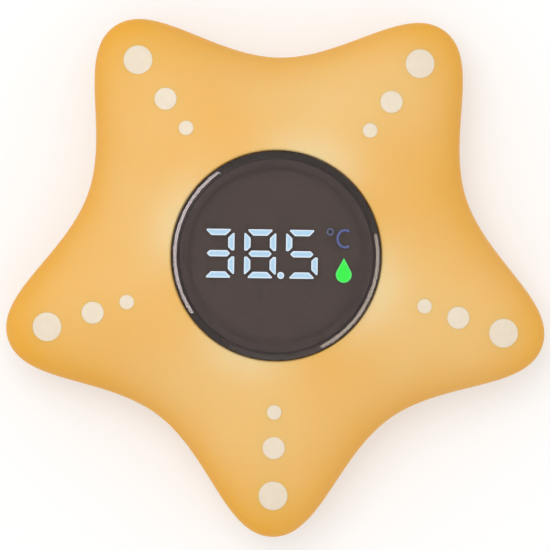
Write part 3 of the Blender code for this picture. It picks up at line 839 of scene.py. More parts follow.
@functools.cache
def box_of(node: str) -> tuple[Vector, Vector]:
    """Gives the lowest and the highest corner of a node, measured once."""
    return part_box(node)


def centre_of(node: str) -> Point:
    """Gives the middle of a node's box, seen from above."""
    low, high = box_of(node)
    return ((low.x + high.x) / 2, (low.y + high.y) / 2)


def radius_of(node: str) -> float:
    """Gives half the width of a node's box."""
    low, high = box_of(node)
    return (high.x - low.x) / 2


def screw_places(group: str) -> list[Point]:
    """Gives the places of a group of three screws."""
    return [centre_of(f"{group}_{number}") for number in SCREWS]


def rounding(radius: float, steps: int) -> list[Point]:
    """Steps round a quarter circle.

    Args:
        radius: Radius of the circle.
        steps: Number of steps.

    Returns:
        What is left of the way in, which falls to zero, and the way along, which grows.
    """
    turns = np.linspace(0, math.pi / 2, steps)
    return [(radius * (1 - math.sin(turn)), radius * (1 - math.cos(turn))) for turn in turns]


# The star and its two shells


@dataclass(frozen=True)
class StarForm:
    """Outline of the star and the rise of its crown and back."""

    arms: int = 5
    first_arm: float = math.radians(-90)
    valley_radius: float = 33.15 * MM
    tip_handle: float = 7.96 * MM
    valley_handle: float = 11.01 * MM
    wall: float = 2.0 * MM
    crown_fall: float = 0.45
    crown_power: int = 4
    base_share: float = 0.85
    half_arm_steps: int = 40
    table_steps: int = 401
    profile_steps: int = 2001

    @property
    def tip_radius(self) -> float:
        """Distance from the centre to the tip of an arm."""
        return -box_of("front_shell")[0].y

    @property
    def front_edge(self) -> float:
        """Height of the front shell's lower edge."""
        return box_of("front_shell")[0].z

    @property
    def back_edge(self) -> float:
        """Height of the back shell's outer upper edge."""
        return self.front_edge - CAD_GAP

    @property
    def crown_rise(self) -> float:
        """Height of the crown above the front shell's edge."""
        return box_of("front_shell")[1].z - self.front_edge

    @property
    def opening(self) -> float:
        """Radius of the opening that the window sits in."""
        return box_of("display_lens")[1].x + CAD_GAP

    def half_arm(self, shares: np.ndarray, inset: float) -> tuple[np.ndarray, np.ndarray]:
        """Follows half an arm's outline, from its tip to the valley.

        Args:
            shares: Places along the curve, from 0 to 1.
            inset: Distance that the outline is set in.

        Returns:
            Directions and distances from the centre.
        """
        half_angle = math.pi / self.arms
        outward = np.array([math.cos(half_angle), math.sin(half_angle)])
        along = np.array([outward[1], -outward[0]])
        tip = np.array([self.tip_radius, 0.0])
        valley = self.valley_radius * outward
        points = np.array([tip, tip + [0.0, self.tip_handle], valley + self.valley_handle * along, valley])
        t, rest = shares[:, None], 1 - shares[:, None]
        weights = np.hstack([rest**3, 3 * rest**2 * t, 3 * rest * t**2, t**3])
        steps = points[1:] - points[:-1]
        slope = np.hstack([rest**2, 2 * rest * t, t**2]) @ steps
        normal = np.column_stack([slope[:, 1], -slope[:, 0]]) / np.hypot(*slope.T)[:, None]
        place = weights @ points - inset * normal
        return np.arctan2(place[:, 1], place[:, 0]), np.hypot(*place.T)

    @functools.cache
    def table(self, inset: float) -> tuple[np.ndarray, np.ndarray]:
        """Directions and distances along half an arm, close enough to read between."""
        return self.half_arm(np.linspace(0, 1, self.table_steps), inset)

    def reach(self, angles: np.ndarray, inset: float = 0.0) -> np.ndarray:
        """Finds how far the outline reaches.

        Args:
            angles: Directions from the centre.
            inset: Distance that the outline is set in.

        Returns:
            Distances from the centre.
        """
        pitch = 2 * math.pi / self.arms
        folded = np.abs((angles - self.first_arm + pitch / 2) % pitch - pitch / 2)
        return np.interp(folded, *self.table(inset))

    @functools.cached_property
    def columns(self) -> np.ndarray:
        """Directions of the columns of the star's skins.

        Returns:
            The directions, arm by arm.
        """
        offsets, _ = self.half_arm(np.linspace(0, 1, self.half_arm_steps + 1), 0.0)
        half = np.concatenate([-offsets[:0:-1], offsets[:-1]])
        arms = self.first_arm + 2 * math.pi * np.arange(self.arms) / self.arms
        return (arms[:, None] + half[None, :]).ravel()

    def profile(self, share: np.ndarray) -> np.ndarray:
        """Height of the crown as a share of its rise, from the window (0) to the edge (1)."""
        return (1 - self.crown_fall * share) * np.sqrt(np.clip(1 - share**self.crown_power, 0, 1))

    def share(self, x: np.ndarray, y: np.ndarray) -> np.ndarray:
        """Place of points on the crown, from 0 at the window to 1 at the edge."""
        span = self.reach(np.arctan2(y, x)) - self.opening
        return (np.hypot(x, y) - self.opening) / span

    def crown(self, x: np.ndarray, y: np.ndarray) -> np.ndarray:
        """Height of the outer crown above points."""
        return self.front_edge + self.crown_rise * self.profile(self.share(x, y))

    def ring(self, radii: float | np.ndarray, heights: float | np.ndarray) -> np.ndarray:
        """Lays a ring over the star's columns.

        Args:
            radii: Distance from the centre, one or one for each column.
            heights: Height, one or one for each column.

        Returns:
            The points of the ring.
        """
        radii = np.broadcast_to(radii, self.columns.shape)
        flat = np.column_stack([radii * np.cos(self.columns), radii * np.sin(self.columns)])
        return at_height(flat, heights)

    def crown_rings(self, inset: float, rise: float, inner: float, steps: int) -> list[np.ndarray]:
        """Lays rings from the edge of the crown up to a circle.

        Args:
            inset: Distance that the skin is set in.
            rise: Height of the skin above the front shell's edge.
            inner: Radius of the circle.
            steps: Number of steps.

        Returns:
            The rings, the edge first.
        """
        span = self.reach(self.columns, inset) - self.opening
        start = (inner - self.opening) / span
        rings = []
        for row in range(steps + 1):
            share = start + (1 - start) * math.sin(math.pi / 2 * (1 - row / steps))
            height = self.front_edge + rise * self.profile(share)
            rings.append(self.ring(self.opening + span * share, height))
        return rings

    def back_rings(self, inset: float, floor: float, steps: int) -> list[np.ndarray]:
        """Lays rings down the rounded underside.

        Args:
            inset: Distance that the skin is set in.
            floor: Height of its flat.
            steps: Number of steps.

        Returns:
            The rings, the upper edge first.
        """
        rings = []
        for turn in np.linspace(0, math.pi / 2, steps + 1):
            scale = self.base_share + (1 - self.base_share) * math.cos(turn)
            height = floor + (self.back_edge - floor) * (1 - math.sin(turn))
            rings.append(self.ring(scale * self.reach(self.columns, inset), height))
        return rings

    def lip(self, inset: float, lip_height: float, height: float) -> np.ndarray:
        """Lays a ring of the lip that stands inside the front shell.

        Args:
            inset: Distance in from the lip's outer face.
            lip_height: How far the lip stands up.
            height: Height of this ring.

        Returns:
            The points of the ring.
        """
        shares = np.linspace(0, 1, self.profile_steps)
        target = lip_height / (self.crown_rise - self.wall)
        share = float(np.interp(-target, -self.profile(shares), shares))
        edge = self.reach(self.columns, self.wall + CAD_GAP + inset)
        return self.ring(self.opening + (edge - self.opening) * share, height)


@dataclass(frozen=True)
class Spots:
    """Cream spots along the arms, flush in the front shell with a soft edge."""

    form: StarForm
    smallest: str = "spot_inner_3"
    proud: float = 0.02 * MM
    edge: float = 0.05 * MM
    clearance: float = 0.01 * MM
    sides: int = 64
    rows: int = 8
    edge_steps: int = 5
    sharp_degrees: float = 60.0

    def nodes(self) -> list[str]:
        """Lists the spots' nodes."""
        return sorted(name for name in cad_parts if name.startswith("spot_"))

    def patch(self, node: str, grow: float, lift: float, sink: float) -> list[np.ndarray]:
        """Lays rings of a patch that follows the crown.

        Args:
            node: Node of the spot.
            grow: Addition to its radius.
            lift: Height of its top above the crown.
            sink: Addition to its depth.

        Returns:
            The rings, from the pole below to the pole above.
        """
        centre, radius = centre_of(node), radius_of(node) + grow
        depth = self.depth() + sink

        def ring(size: float, above: float) -> np.ndarray:
            """Lays one ring over the crown.

            Args:
                size: Radius of the ring. Zero gives one point.
                above: Height above the crown.

            Returns:
                The points of the ring.
            """
            flat = np.array([centre]) if size < SPECK else circle(size, self.sides, centre)
            return at_height(flat, self.form.crown(*flat.T) + above)

        rings = [ring(0, -depth), ring(radius, -depth)]
        for rest, inset in rounding(self.edge, self.edge_steps):
            rings.append(ring(radius - inset, lift - rest / 2))
        top = radius - self.edge
        return rings + [ring(top * (1 - row / self.rows), lift) for row in range(1, self.rows + 1)]

    def depth(self) -> float:
        """Finds the depth of a spot, from the smallest one at the top of the crown.

        Returns:
            The depth below the crown.
        """
        flat = circle(radius_of(self.smallest), self.sides, centre_of(self.smallest))
        return float(self.form.crown(*flat.T).min() - box_of(self.smallest)[0].z)

    def pockets(self) -> Skin:
        """Makes the cutter of the spots' pockets.

        Returns:
            The skins of all the pockets.
        """
        skin = Skin()
        for node in self.nodes():
            rings = self.patch(node, self.clearance, 0.0, self.clearance)[:2]
            rings += [ring + [0.0, 0.0, self.depth() + CUT] for ring in rings[::-1]]
            skin.loft(rings)
        return skin

    def build(self) -> None:
        """Builds and dresses the spots."""
        for node in self.nodes():
            skin = Skin().loft(self.patch(node, 0.0, self.proud, 0.0))
            piece = skin.made(node + "_inlay", self.sharp_degrees)
            dress(piece, SPOT_PLASTIC.made(), Slot.SPOTS, [node])


@dataclass(frozen=True)
class FrontShell:
    """Crowned upper half of the body, with the window's well and three screw bosses."""

    form: StarForm
    spots: Spots
    rim_round: float = 0.45 * MM
    rim_closing: float = 0.16 * MM
    edge_round: float = 0.16 * MM
    seam: float = 0.1 * MM
    ledge_width: float = 2.3 * MM
    ledge_thickness: float = 1.6 * MM
    well_wall: float = 1.5 * MM
    boss_radius: float = 2.2 * MM
    pilot_radius: float = 1.2 * MM
    screw_length: float = 6.0 * MM
    rows: int = 64
    inner_rows: int = 14
    edge_steps: int = 4
    rim_steps: int = 7
    boss_sides: int = 32
    pilot_sides: int = 24
    # Painted light on the crown: a base tone, lobes of painted highlight round the window, and painted
    # shade deepening towards the edge.
    paleness_between: float = 0.38
    painted_highlight: float = 0.15
    painted_highlight_near: float = 0.36
    edge_shade_power: float = 5.0
    highlight_lobe_count: int = 4
    highlight_lobe_azimuth: float = math.radians(70)
    highlight_lobe_reach: float = 4.0 * MM

    @property
    def ledge_top(self) -> float:
        """Height of the ledge that carries the window."""
        return box_of("lens_adhesive")[0].z - CAD_GAP

    def rings(self) -> list[np.ndarray]:
        """Lays the rings of the whole section.

        Returns:
            The rings, all the way round the section.
        """
        form = self.form
        edge = form.front_edge - self.seam
        rings = []
        for inset, rise in rounding(self.edge_round, self.edge_steps):
            rings.append(form.ring(form.reach(form.columns, inset), edge + rise))
        opening = form.opening - self.rim_closing
        rings += form.crown_rings(0.0, form.crown_rise, opening + self.rim_round, self.rows)[1:]
        top = form.front_edge + form.crown_rise
        for rest, fall in rounding(self.rim_round, self.rim_steps)[1:]:
            rings.append(form.ring(opening + rest, top - fall))
        window = form.opening - self.ledge_width
        low = self.ledge_top - self.ledge_thickness
        well = form.opening + self.well_wall
        rings += [form.ring(opening, self.ledge_top), form.ring(window, self.ledge_top)]
        rings += [form.ring(window, low), form.ring(well, low)]
        inner = form.crown_rings(form.wall, form.crown_rise - form.wall, well, self.inner_rows)
        return rings + inner[::-1] + [form.ring(form.reach(form.columns, form.wall), edge)]

    def bosses(self) -> Skin:
        """Makes the three bosses, up into the crown's wall.

        Returns:
            The skins of the bosses.
        """
        skin = Skin()
        low = box_of("circuit_board")[1].z + CAD_GAP
        for place in screw_places("board_screw"):
            flat = circle(self.boss_radius, self.boss_sides, place)
            high = self.form.crown(*flat.T) - self.form.wall / 2
            skin.loft([at_height(flat, low), at_height(flat, high)])
        return skin

    def pilots(self) -> Skin:
        """Makes the cutter of the bosses' pilot holes.

        Returns:
            The skins of the holes.
        """
        skin = Skin()
        board_low, board_high = box_of("circuit_board")
        low, high = board_high.z - CUT, board_low.z + self.screw_length
        for place in screw_places("board_screw"):
            line = np.array([(self.pilot_radius, low), (self.pilot_radius, high)])
            skin.turn(line, self.pilot_sides, place)
        return skin

    def tone_and_painted_light(self, points: np.ndarray) -> np.ndarray:
        """Finds the colour blend of the crown: painted highlights pale it in lobes round the window, and
        painted shade deepens it towards the edge.

        Args:
            points: Points of the shell.

        Returns:
            Blend towards the pale colour at each point, from 0 to 1.
        """
        x, y, _ = points.T
        share = np.clip(self.form.share(x, y), 0, 1)
        # Lobes of painted highlight round the window; the power on the share paints shade towards the
        # edge.
        highlight_lobes = 0.5 + 0.5 * np.cos(self.highlight_lobe_count * (np.arctan2(y, x) - self.highlight_lobe_azimuth))
        near = np.exp(-(((np.hypot(x, y) - self.form.opening) / self.highlight_lobe_reach) ** 2))
        pale = self.paleness_between + highlight_lobes * (self.painted_highlight + self.painted_highlight_near * near)
        return np.clip(pale * (1 - share**self.edge_shade_power), 0, 1)

    def build(self) -> None:
        """Builds and dresses the shell."""
        piece = Skin().loft(self.rings(), looped=True).made("front_shell_moulding")
        tools = [(Cut.ONTO, self.bosses()), (Cut.AWAY, self.pilots()), (Cut.AWAY, self.spots.pockets())]
        worked(piece, tools)
        # Painted highlights and painted edge shade, kept at each point for the material.
        write_values(piece, "tone_and_painted_light", self.tone_and_painted_light(coordinates(piece)))
        dress(piece, BODY_PLASTIC.made(), Slot.BODY, ["front_shell"])


@dataclass(frozen=True)
class BackShell:
    """Lower half of the body, with a flat back, a lip, the cell bay and the holes for the probe."""

    form: StarForm
    probe: "Probe"
    lip_height: float = 1.5 * MM
    lip_thickness: float = 0.8 * MM
    edge_round: float = 0.16 * MM
    recess_round: float = 0.3 * MM
    cup_margin: float = 0.9 * MM
    ceiling: float = 1.6 * MM
    boss_wall: float = 1.0 * MM
    pilot_radius: float = 1.2 * MM
    screw_reach: float = 7.4 * MM
    groove_clearance: float = 0.3 * MM
    bay_clearance: float = 0.4 * MM
    hole_clearance: float = 0.12 * MM
    contact_thickness: float = 0.3 * MM
    contact_room: float = 0.7 * MM
    rows: int = 30
    edge_steps: int = 4
    recess_steps: int = 5
    boss_sides: int = 32
    pilot_sides: int = 24
    hole_sides: int = 64
    # Base tone of the back; painted shade takes it down to none at the upper edge.
    paleness_low: float = 0.34
    edge_shade_power: float = 3.0

    def rings(self) -> list[np.ndarray]:
        """Lays the rings of the whole section.

        Returns:
            The rings, from the ceiling's upper pole round to its lower pole.
        """
        form, ring, wall = self.form, self.form.ring, self.form.wall
        door = box_of("battery_door")[1]
        recess, floor = door.x + CAD_GAP, door.z + CAD_GAP
        seal_low, seal_high = box_of("door_seal")
        thick = seal_high.z - seal_low.z
        groove_outer = seal_high.x + self.groove_clearance
        groove_inner = seal_high.x - thick - self.groove_clearance
        groove_top = floor + thick + CAD_GAP
        bay = box_of("battery_cell")[1].x + self.bay_clearance
        ceiling_low = self.ceiling_low()
        ceiling_high = ceiling_low + self.ceiling
        cup = groove_outer + self.cup_margin
        rings = [np.array([[0.0, 0.0, ceiling_high]]), ring(cup, ceiling_high), ring(cup, floor + wall)]
        rings += [ring(recess + wall, floor + wall), ring(recess + wall, wall)]
        rings += form.back_rings(wall, wall, self.rows)[:0:-1]
        low, high = form.back_edge - self.lip_height, form.back_edge + self.lip_height
        rings += [form.lip(self.lip_thickness, self.lip_height, height) for height in (low, high)]
        rings += [form.lip(0.0, self.lip_height, height) for height in (high, form.back_edge)]
        edge = form.reach(form.columns)
        for inset, fall in rounding(self.edge_round, self.edge_steps):
            rings.append(ring(edge - inset, form.back_edge - fall))
        rings += form.back_rings(0.0, 0.0, self.rows)[1:]
        rings += [ring(recess + self.recess_round, 0.0)]
        for rest, rise in rounding(self.recess_round, self.recess_steps)[1:]:
            rings.append(ring(recess + rest, rise))
        rings += [ring(recess, floor), ring(groove_outer, floor), ring(groove_outer, groove_top)]
        rings += [ring(groove_inner, groove_top), ring(groove_inner, floor), ring(bay, floor)]
        return rings + [ring(bay, ceiling_low), np.array([[0.0, 0.0, ceiling_low]])]

    def ceiling_low(self) -> float:
        """Height of the underside of the bay's ceiling."""
        cell = box_of("battery_cell")[1].z
        return cell + CAD_GAP + self.contact_thickness + self.contact_room

    def bosses(self) -> Skin:
        """Makes the bosses for the door's screws.

        Returns:
            The skins of the bosses.
        """
        skin = Skin()
        low = box_of("battery_door")[1].z + CAD_GAP + self.form.wall / 2
        radius = self.pilot_radius + self.boss_wall
        high = self.screw_reach + self.boss_wall / 2
        for place in screw_places("door_screw"):
            skin.turn(np.array([(radius, low), (radius, high)]), self.boss_sides, place)
        return skin

    def openings(self) -> Skin:
        """Makes the cutter of the pilots, the probe, the water contacts and the contacts' slots.

        Returns:
            The skins of all the openings.
        """
        skin = Skin()
        floor = box_of("battery_door")[1].z + CAD_GAP
        pilot = np.array([(self.pilot_radius, floor - CUT), (self.pilot_radius, self.screw_reach)])
        for place in screw_places("door_screw"):
            skin.turn(pilot, self.pilot_sides, place)
        for node, flange in self.probe.flanges().items():
            radius = radius_of(node) - flange + self.hole_clearance
            line = np.array([(radius, -CUT), (radius, self.form.wall + CUT)])
            skin.turn(line, self.hole_sides, centre_of(node))
        ceiling = self.ceiling_low()
        top = ceiling + self.ceiling + CUT
        for node, bottom in (("contact_positive", floor - CUT), ("contact_negative", ceiling - CUT / 2)):
            low, high = box_of(node)
            right = high.x if node == "contact_positive" else low.x + self.contact_thickness
            corners = [
                (low.x - CAD_GAP, low.y - CAD_GAP),
                (right + CAD_GAP, low.y - CAD_GAP),
                (right + CAD_GAP, high.y + CAD_GAP),
                (low.x - CAD_GAP, high.y + CAD_GAP),
            ]
            skin.loft([at_height(np.array(corners), height) for height in (bottom, top)])
        return skin

    def tone_and_painted_light(self, points: np.ndarray) -> np.ndarray:
        """Finds the colour blend of the back: a base tone that painted shade deepens to none at the upper
        edge, where the front shell meets it.

        Args:
            points: Points of the shell or its door.

        Returns:
            Blend towards the pale colour at each point, from 0 to 1.
        """
        share = np.clip(points[:, 2] / self.form.back_edge, 0, 1)
        return self.paleness_low * (1 - share**self.edge_shade_power)

    def build(self) -> None:
        """Builds and dresses the shell."""
        piece = Skin().loft(self.rings()).made("back_shell_moulding")
        worked(piece, [(Cut.ONTO, self.bosses()), (Cut.AWAY, self.openings())])
        # Base tone with painted shade towards the upper edge, kept at each point for the material.
        write_values(piece, "tone_and_painted_light", self.tone_and_painted_light(coordinates(piece)))
        dress(piece, BODY_PLASTIC.made(), Slot.BODY, ["back_shell"])


# The window and the lit display


@dataclass(frozen=True)
class Window:
    """Bevelled smoked window, with the foam tape that holds it and two rings behind it: a border of ink in
    the face's colour, darkened as painted shade, and a dark ring of painted shade at its edge.
    """

    bevel: float = 1.0 * MM
    bevel_height: float = 0.94 * MM
    flat_start: float = 0.28 * MM
    flat_end: float = 0.83 * MM
    support: float = 0.03 * MM
    flat_margin: float = 0.25 * MM
    edge: float = 0.1 * MM
    tape_edge: float = 0.12 * MM
    ring_gap: float = 0.02 * MM
    ring_thickness: float = 0.06 * MM
    border_width: float = 2.6 * MM
    # Width of the dark ring of painted shade behind the window's edge.
    edge_shade_width: float = 1.34 * MM
    tape_room: float = 0.6 * MM
    sides: int = 192
    sharp_degrees: float = 50.0

    def profile(self) -> np.ndarray:
        """Draws the window's profile: a bevel of two facets, the outer one at 45 degrees.

        Returns:
            Rows of radius and height.
        """
        low, high = box_of("display_lens")
        radius, foot = high.x, high.z - self.bevel_height
        top = radius - self.bevel
        corners = [(0.0, low.z), (radius - self.flat_margin, low.z), (radius, low.z), (radius, foot)]
        for step in (self.flat_start, self.flat_end - self.support, self.flat_end):
            corners.append((radius - step, foot + step))
        corners += [(top, high.z), (top - self.flat_margin, high.z), (0.0, high.z)]
        return softened(corners, self.edge)

    def backing_ring(self, name: str, inner: float, outer: float, finish: Mottled) -> None:
        """Builds a ring on the window's back.

        Args:
            name: Name of the piece.
            inner: Inner radius.
            outer: Outer radius.
            finish: Finish of the ring.
        """
        top = box_of("display_lens")[0].z - self.ring_gap
        bottom = top - self.ring_thickness
        line = np.array([(inner, bottom), (outer, bottom), (outer, top), (inner, top)])
        piece = Skin().turn(line, self.sides, looped=True).made(name)
        dress(piece, finish.made(), Slot.WINDOW)

    def build(self) -> None:
        """Builds and dresses the window, its ink and its tape."""
        lens = Skin().turn(self.profile(), self.sides).made("display_window", self.sharp_degrees)
        dress(lens, WINDOW_PLASTIC.made(), Slot.WINDOW, ["display_lens"])
        radius = box_of("display_lens")[1].x
        edge_shade_inner = radius - self.edge_shade_width
        # Border ring, darkened as painted shade.
        self.backing_ring("window_border", radius - self.border_width, edge_shade_inner, BORDER_SHADED_INK)
        # Dark ring of painted shade at the window's edge.
        self.backing_ring("window_edge_shade_ring", edge_shade_inner + self.ring_gap, radius - self.edge, EDGE_SHADE)
        low, high = box_of("lens_adhesive")
        inner = box_of("display_block")[1].x + self.tape_room
        line = [(inner, low.z), (high.x, low.z), (high.x, high.z), (inner, high.z)]
        tape = Skin().turn(softened(line, self.tape_edge, closed=True), self.sides, looped=True)
        dress(tape.made("foam_ring"), TAPE_FOAM.made(), Slot.TAPE, ["lens_adhesive"])


@dataclass(frozen=True)
class Marks:
    """Lit bars, point, ring, letter and drop."""

    width: float = 5.46 * MM
    height: float = 8.27 * MM
    bar: float = 1.2 * MM
    spacing: float = 0.43 * MM
    middle_gap: float = 0.85 * MM
    inset: float = 0.07 * MM
    corner: float = 0.24 * MM
    edge: float = 0.06 * MM
    core: float = 0.34 * MM
    letter_stroke: float = 0.48 * MM
    letter_opening: float = math.radians(104)
    ring_radius: float = 0.64 * MM
    ring_stroke: float = 0.3 * MM
    steps: int = 48
    edge_steps: int = 4
    corner_steps: int = 6
    letter_core: float = 0.5

    def lit(self) -> dict[Figure, list[Bar]]:
        """Finds which bars are lit, from the part's nodes.

        Returns:
            The lit bars of each figure.
        """
        return {
            figure: [bar for bar in Bar if f"{figure.value}_{bar.value}_bar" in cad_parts]
            for figure in Figure
        }

    def bar_corners(self, bar: Bar) -> list[Point]:
        """Finds the corners of a bar, about the figure's centre.

        Args:
            bar: Which bar.

        Returns:
            The corners, in order.
        """
        right, top = self.width / 2, self.height / 2
        setback = self.spacing / math.sqrt(2)
        inner = right - self.bar
        node = right - self.bar / 2 + setback / 2
        half = self.bar / 2
        if bar in (Bar.TOP, Bar.BOTTOM):
            corners = [
                (right - setback, top),
                (setback - right, top),
                (setback - inner, top - self.bar),
                (inner - setback, top - self.bar),
            ]
        elif bar is Bar.MIDDLE:
            end = node - self.spacing / 2
            corners = [(end, 0.0), (end - half, half), (half - end, half)]
            corners += [(-x, -y) for x, y in corners]
        else:
            low = self.middle_gap / 2
            corners = [
                (right, top - setback),
                (inner, top - self.bar - setback),
                (inner, node + setback - inner),
                (node + setback - low, low),
                (right, low),
            ]
        across = -1 if bar in (Bar.UPPER_LEFT, Bar.LOWER_LEFT) else 1
        up = -1 if bar in (Bar.LOWER_LEFT, Bar.LOWER_RIGHT, Bar.BOTTOM) else 1
        return [(across * x, up * y) for x, y in corners]

    def lamp(self, name: str, outline: np.ndarray, node: str, light: Glow, slot: Slot) -> None:
        """Builds one lit mark with a soft edge.

        Args:
            name: Name of the piece.
            outline: Outline of the mark.
            node: Node that it stands for.
            light: Finish of the mark.
            slot: The record's slot of its finish.
        """
        low, high = box_of(node)
        rings = [at_height(outline, low.z), at_height(outline, high.z - self.edge)]
        for rest, inset in rounding(self.edge, self.edge_steps)[1:]:
            rings.append(at_height(set_in(outline, inset), high.z - rest))
        outer = len(outline) * len(rings)
        rings.append(at_height(set_in(outline, self.core), high.z))
        piece = Skin().loft(rings).made(name)
        values = np.zeros(len(piece.data.vertices))
        values[outer:] = 1.0
        write_values(piece, "core", values)
        write_values(piece, "lit", np.arange(len(values)) >= 2 * len(outline))
        dress(piece, light.made(), slot, [node])

    def figures(self) -> None:
        """Builds the bars of the three figures."""
        for figure, bars in self.lit().items():
            top = f"{figure.value}_top_bar"
            x = centre_of(top)[0]
            y = (box_of(top)[1].y + box_of(f"{figure.value}_bottom_bar")[0].y) / 2
            for bar in bars:
                node = f"{figure.value}_{bar.value}_bar"
                corners = self.bar_corners(bar)
                outline = softened(corners, self.corner, closed=True, steps=self.corner_steps)
                outline = set_in(outline, self.inset) + [x, y]
                self.lamp(f"{figure.value}_{bar.value}_lit", outline, node, BAR_LIGHT, Slot.BARS)

    def point(self) -> None:
        """Builds the decimal point."""
        node = "decimal_point"
        outline = circle(radius_of(node), self.steps, centre_of(node))
        self.lamp("decimal_point_lit", outline, node, BAR_LIGHT, Slot.BARS)

    def ring(self) -> None:
        """Builds the ring of the degree sign."""
        low, high = box_of("degree_ring")
        outer = self.ring_radius
        inner = outer - self.ring_stroke
        section = [(inner, low.z), (outer, low.z), (outer, high.z), (inner, high.z)]
        line = softened(section, self.edge, closed=True)
        skin = Skin().turn(line, self.steps, centre_of("degree_ring"), looped=True)
        ring = skin.made("degree_ring_lit")
        write_values(ring, "core", np.zeros(len(ring.data.vertices)))
        write_values(ring, "lit", coordinates(ring)[:, 2] > high.z - self.edge / 2)
        dress(ring, RING_LIGHT.made(), Slot.UNIT, ["degree_ring"])

    def letter(self) -> None:
        """Builds the letter, whose two long sides meet at its ends."""
        low, high = box_of("letter_c")
        half_height = (high.y - low.y - self.letter_stroke) / 2
        opening = self.letter_opening / 2
        reach = (high.x - low.x) / (1 + math.cos(opening)) - self.letter_stroke / 2
        centre = np.array([low.x + self.letter_stroke / 2 + reach, (low.y + high.y) / 2])
        angles = np.linspace(opening, 2 * math.pi - opening, self.steps)
        unit = np.column_stack([np.cos(angles), np.sin(angles)])
        sizes = np.array([reach, half_height])
        outline = np.vstack([
            centre + unit * (sizes + self.letter_stroke / 2),
            (centre + unit * (sizes - self.letter_stroke / 2))[::-1],
        ])
        rings = [at_height(outline, low.z), at_height(outline, high.z - self.edge)]
        rings.append(at_height(set_in(outline, self.edge), high.z))
        piece = Skin().loft(rings).made("letter_c_lit")
        write_values(piece, "core", np.full(len(piece.data.vertices), self.letter_core))
        write_values(piece, "lit", np.arange(len(piece.data.vertices)) >= 2 * len(outline))
        dress(piece, UNIT_LIGHT.made(), Slot.UNIT, ["letter_c"])

    def drop(self) -> None:
        """Builds the water drop."""
        low, high = box_of("water_drop")
        radius = radius_of("water_drop")
        centre = np.array([(low.x + high.x) / 2, low.y + radius])
        point = high.y - centre[1]
        side = math.asin(radius / point)
        angles = side - np.linspace(0, math.pi + 2 * side, self.steps)
        curve = centre + radius * np.column_stack([np.cos(angles), np.sin(angles)])
        outline = np.vstack([centre + [0.0, point], curve])
        self.lamp("water_drop_lit", outline, "water_drop", DROP_LIGHT, Slot.DROP)

    def build(self) -> None:
        """Builds and dresses every lit mark, and dresses the block behind them."""
        self.figures()
        self.point()
        self.ring()
        self.letter()
        self.drop()
        paint(["display_block"], FACE_PLASTIC.made(), Slot.HOUSING)


# What is fitted in the back


@dataclass(frozen=True)
class Screw:
    """Pan-head screw with a cross recess and a ringed shank."""

    head_radius: float = 1.7 * MM
    head_height: float = 0.9 * MM
    shank_radius: float = 0.9 * MM
    length: float = 6.0 * MM
    pitch: float = 0.6 * MM
    thread_depth: float = 0.18 * MM
    slot_length: float = 2.38 * MM
    slot_width: float = 0.5 * MM
    slot_depth: float = 0.45 * MM
    edge: float = 0.2 * MM
    sides: int = 40
    sharp_degrees: float = 40.0

    def profile(self) -> np.ndarray:
        """Draws the screw's profile, head down.

        Returns:
            Rows of radius and height above the head's face.
        """
        head = [(0.0, 0.0), (self.head_radius, 0.0), (self.head_radius, self.head_height)]
        head.append((self.shank_radius - self.thread_depth, self.head_height))
        points = list(softened(head, self.edge))
        height = self.head_height
        root = self.shank_radius - self.thread_depth
        taper = self.head_height + self.length - self.shank_radius
        while height + self.pitch < taper:
            points += [(self.shank_radius, height + self.pitch / 2), (root, height + self.pitch)]
            height += self.pitch
        points.append((0.0, self.head_height + self.length))
        return np.array(points)

    def build(self, group: str, number: int) -> None:
        """Builds and dresses one screw where its node stands.

        Args:
            group: First part of the node's name.
            number: Number of the screw.
        """
        node = f"{group}_{number}"
        place, low = centre_of(node), box_of(node)[0].z
        skin = Skin().turn(self.profile() + [0.0, low], self.sides, place)
        piece = skin.made(node + "_turned", self.sharp_degrees)
        far, near = self.slot_length / 2, self.slot_width / 2
        quarter = np.array([(far, near), (near, near), (near, far)])
        half = np.vstack([quarter, quarter[::-1] * [-1, 1]])
        flat = np.vstack([half, -half]) + place
        cross = Skin().loft([at_height(flat, low - CUT), at_height(flat, low + self.slot_depth)])
        worked(piece, [(Cut.AWAY, cross)], self.sharp_degrees)
        dress(piece, SCREW_STEEL.made(), Slot.SCREW, [node])


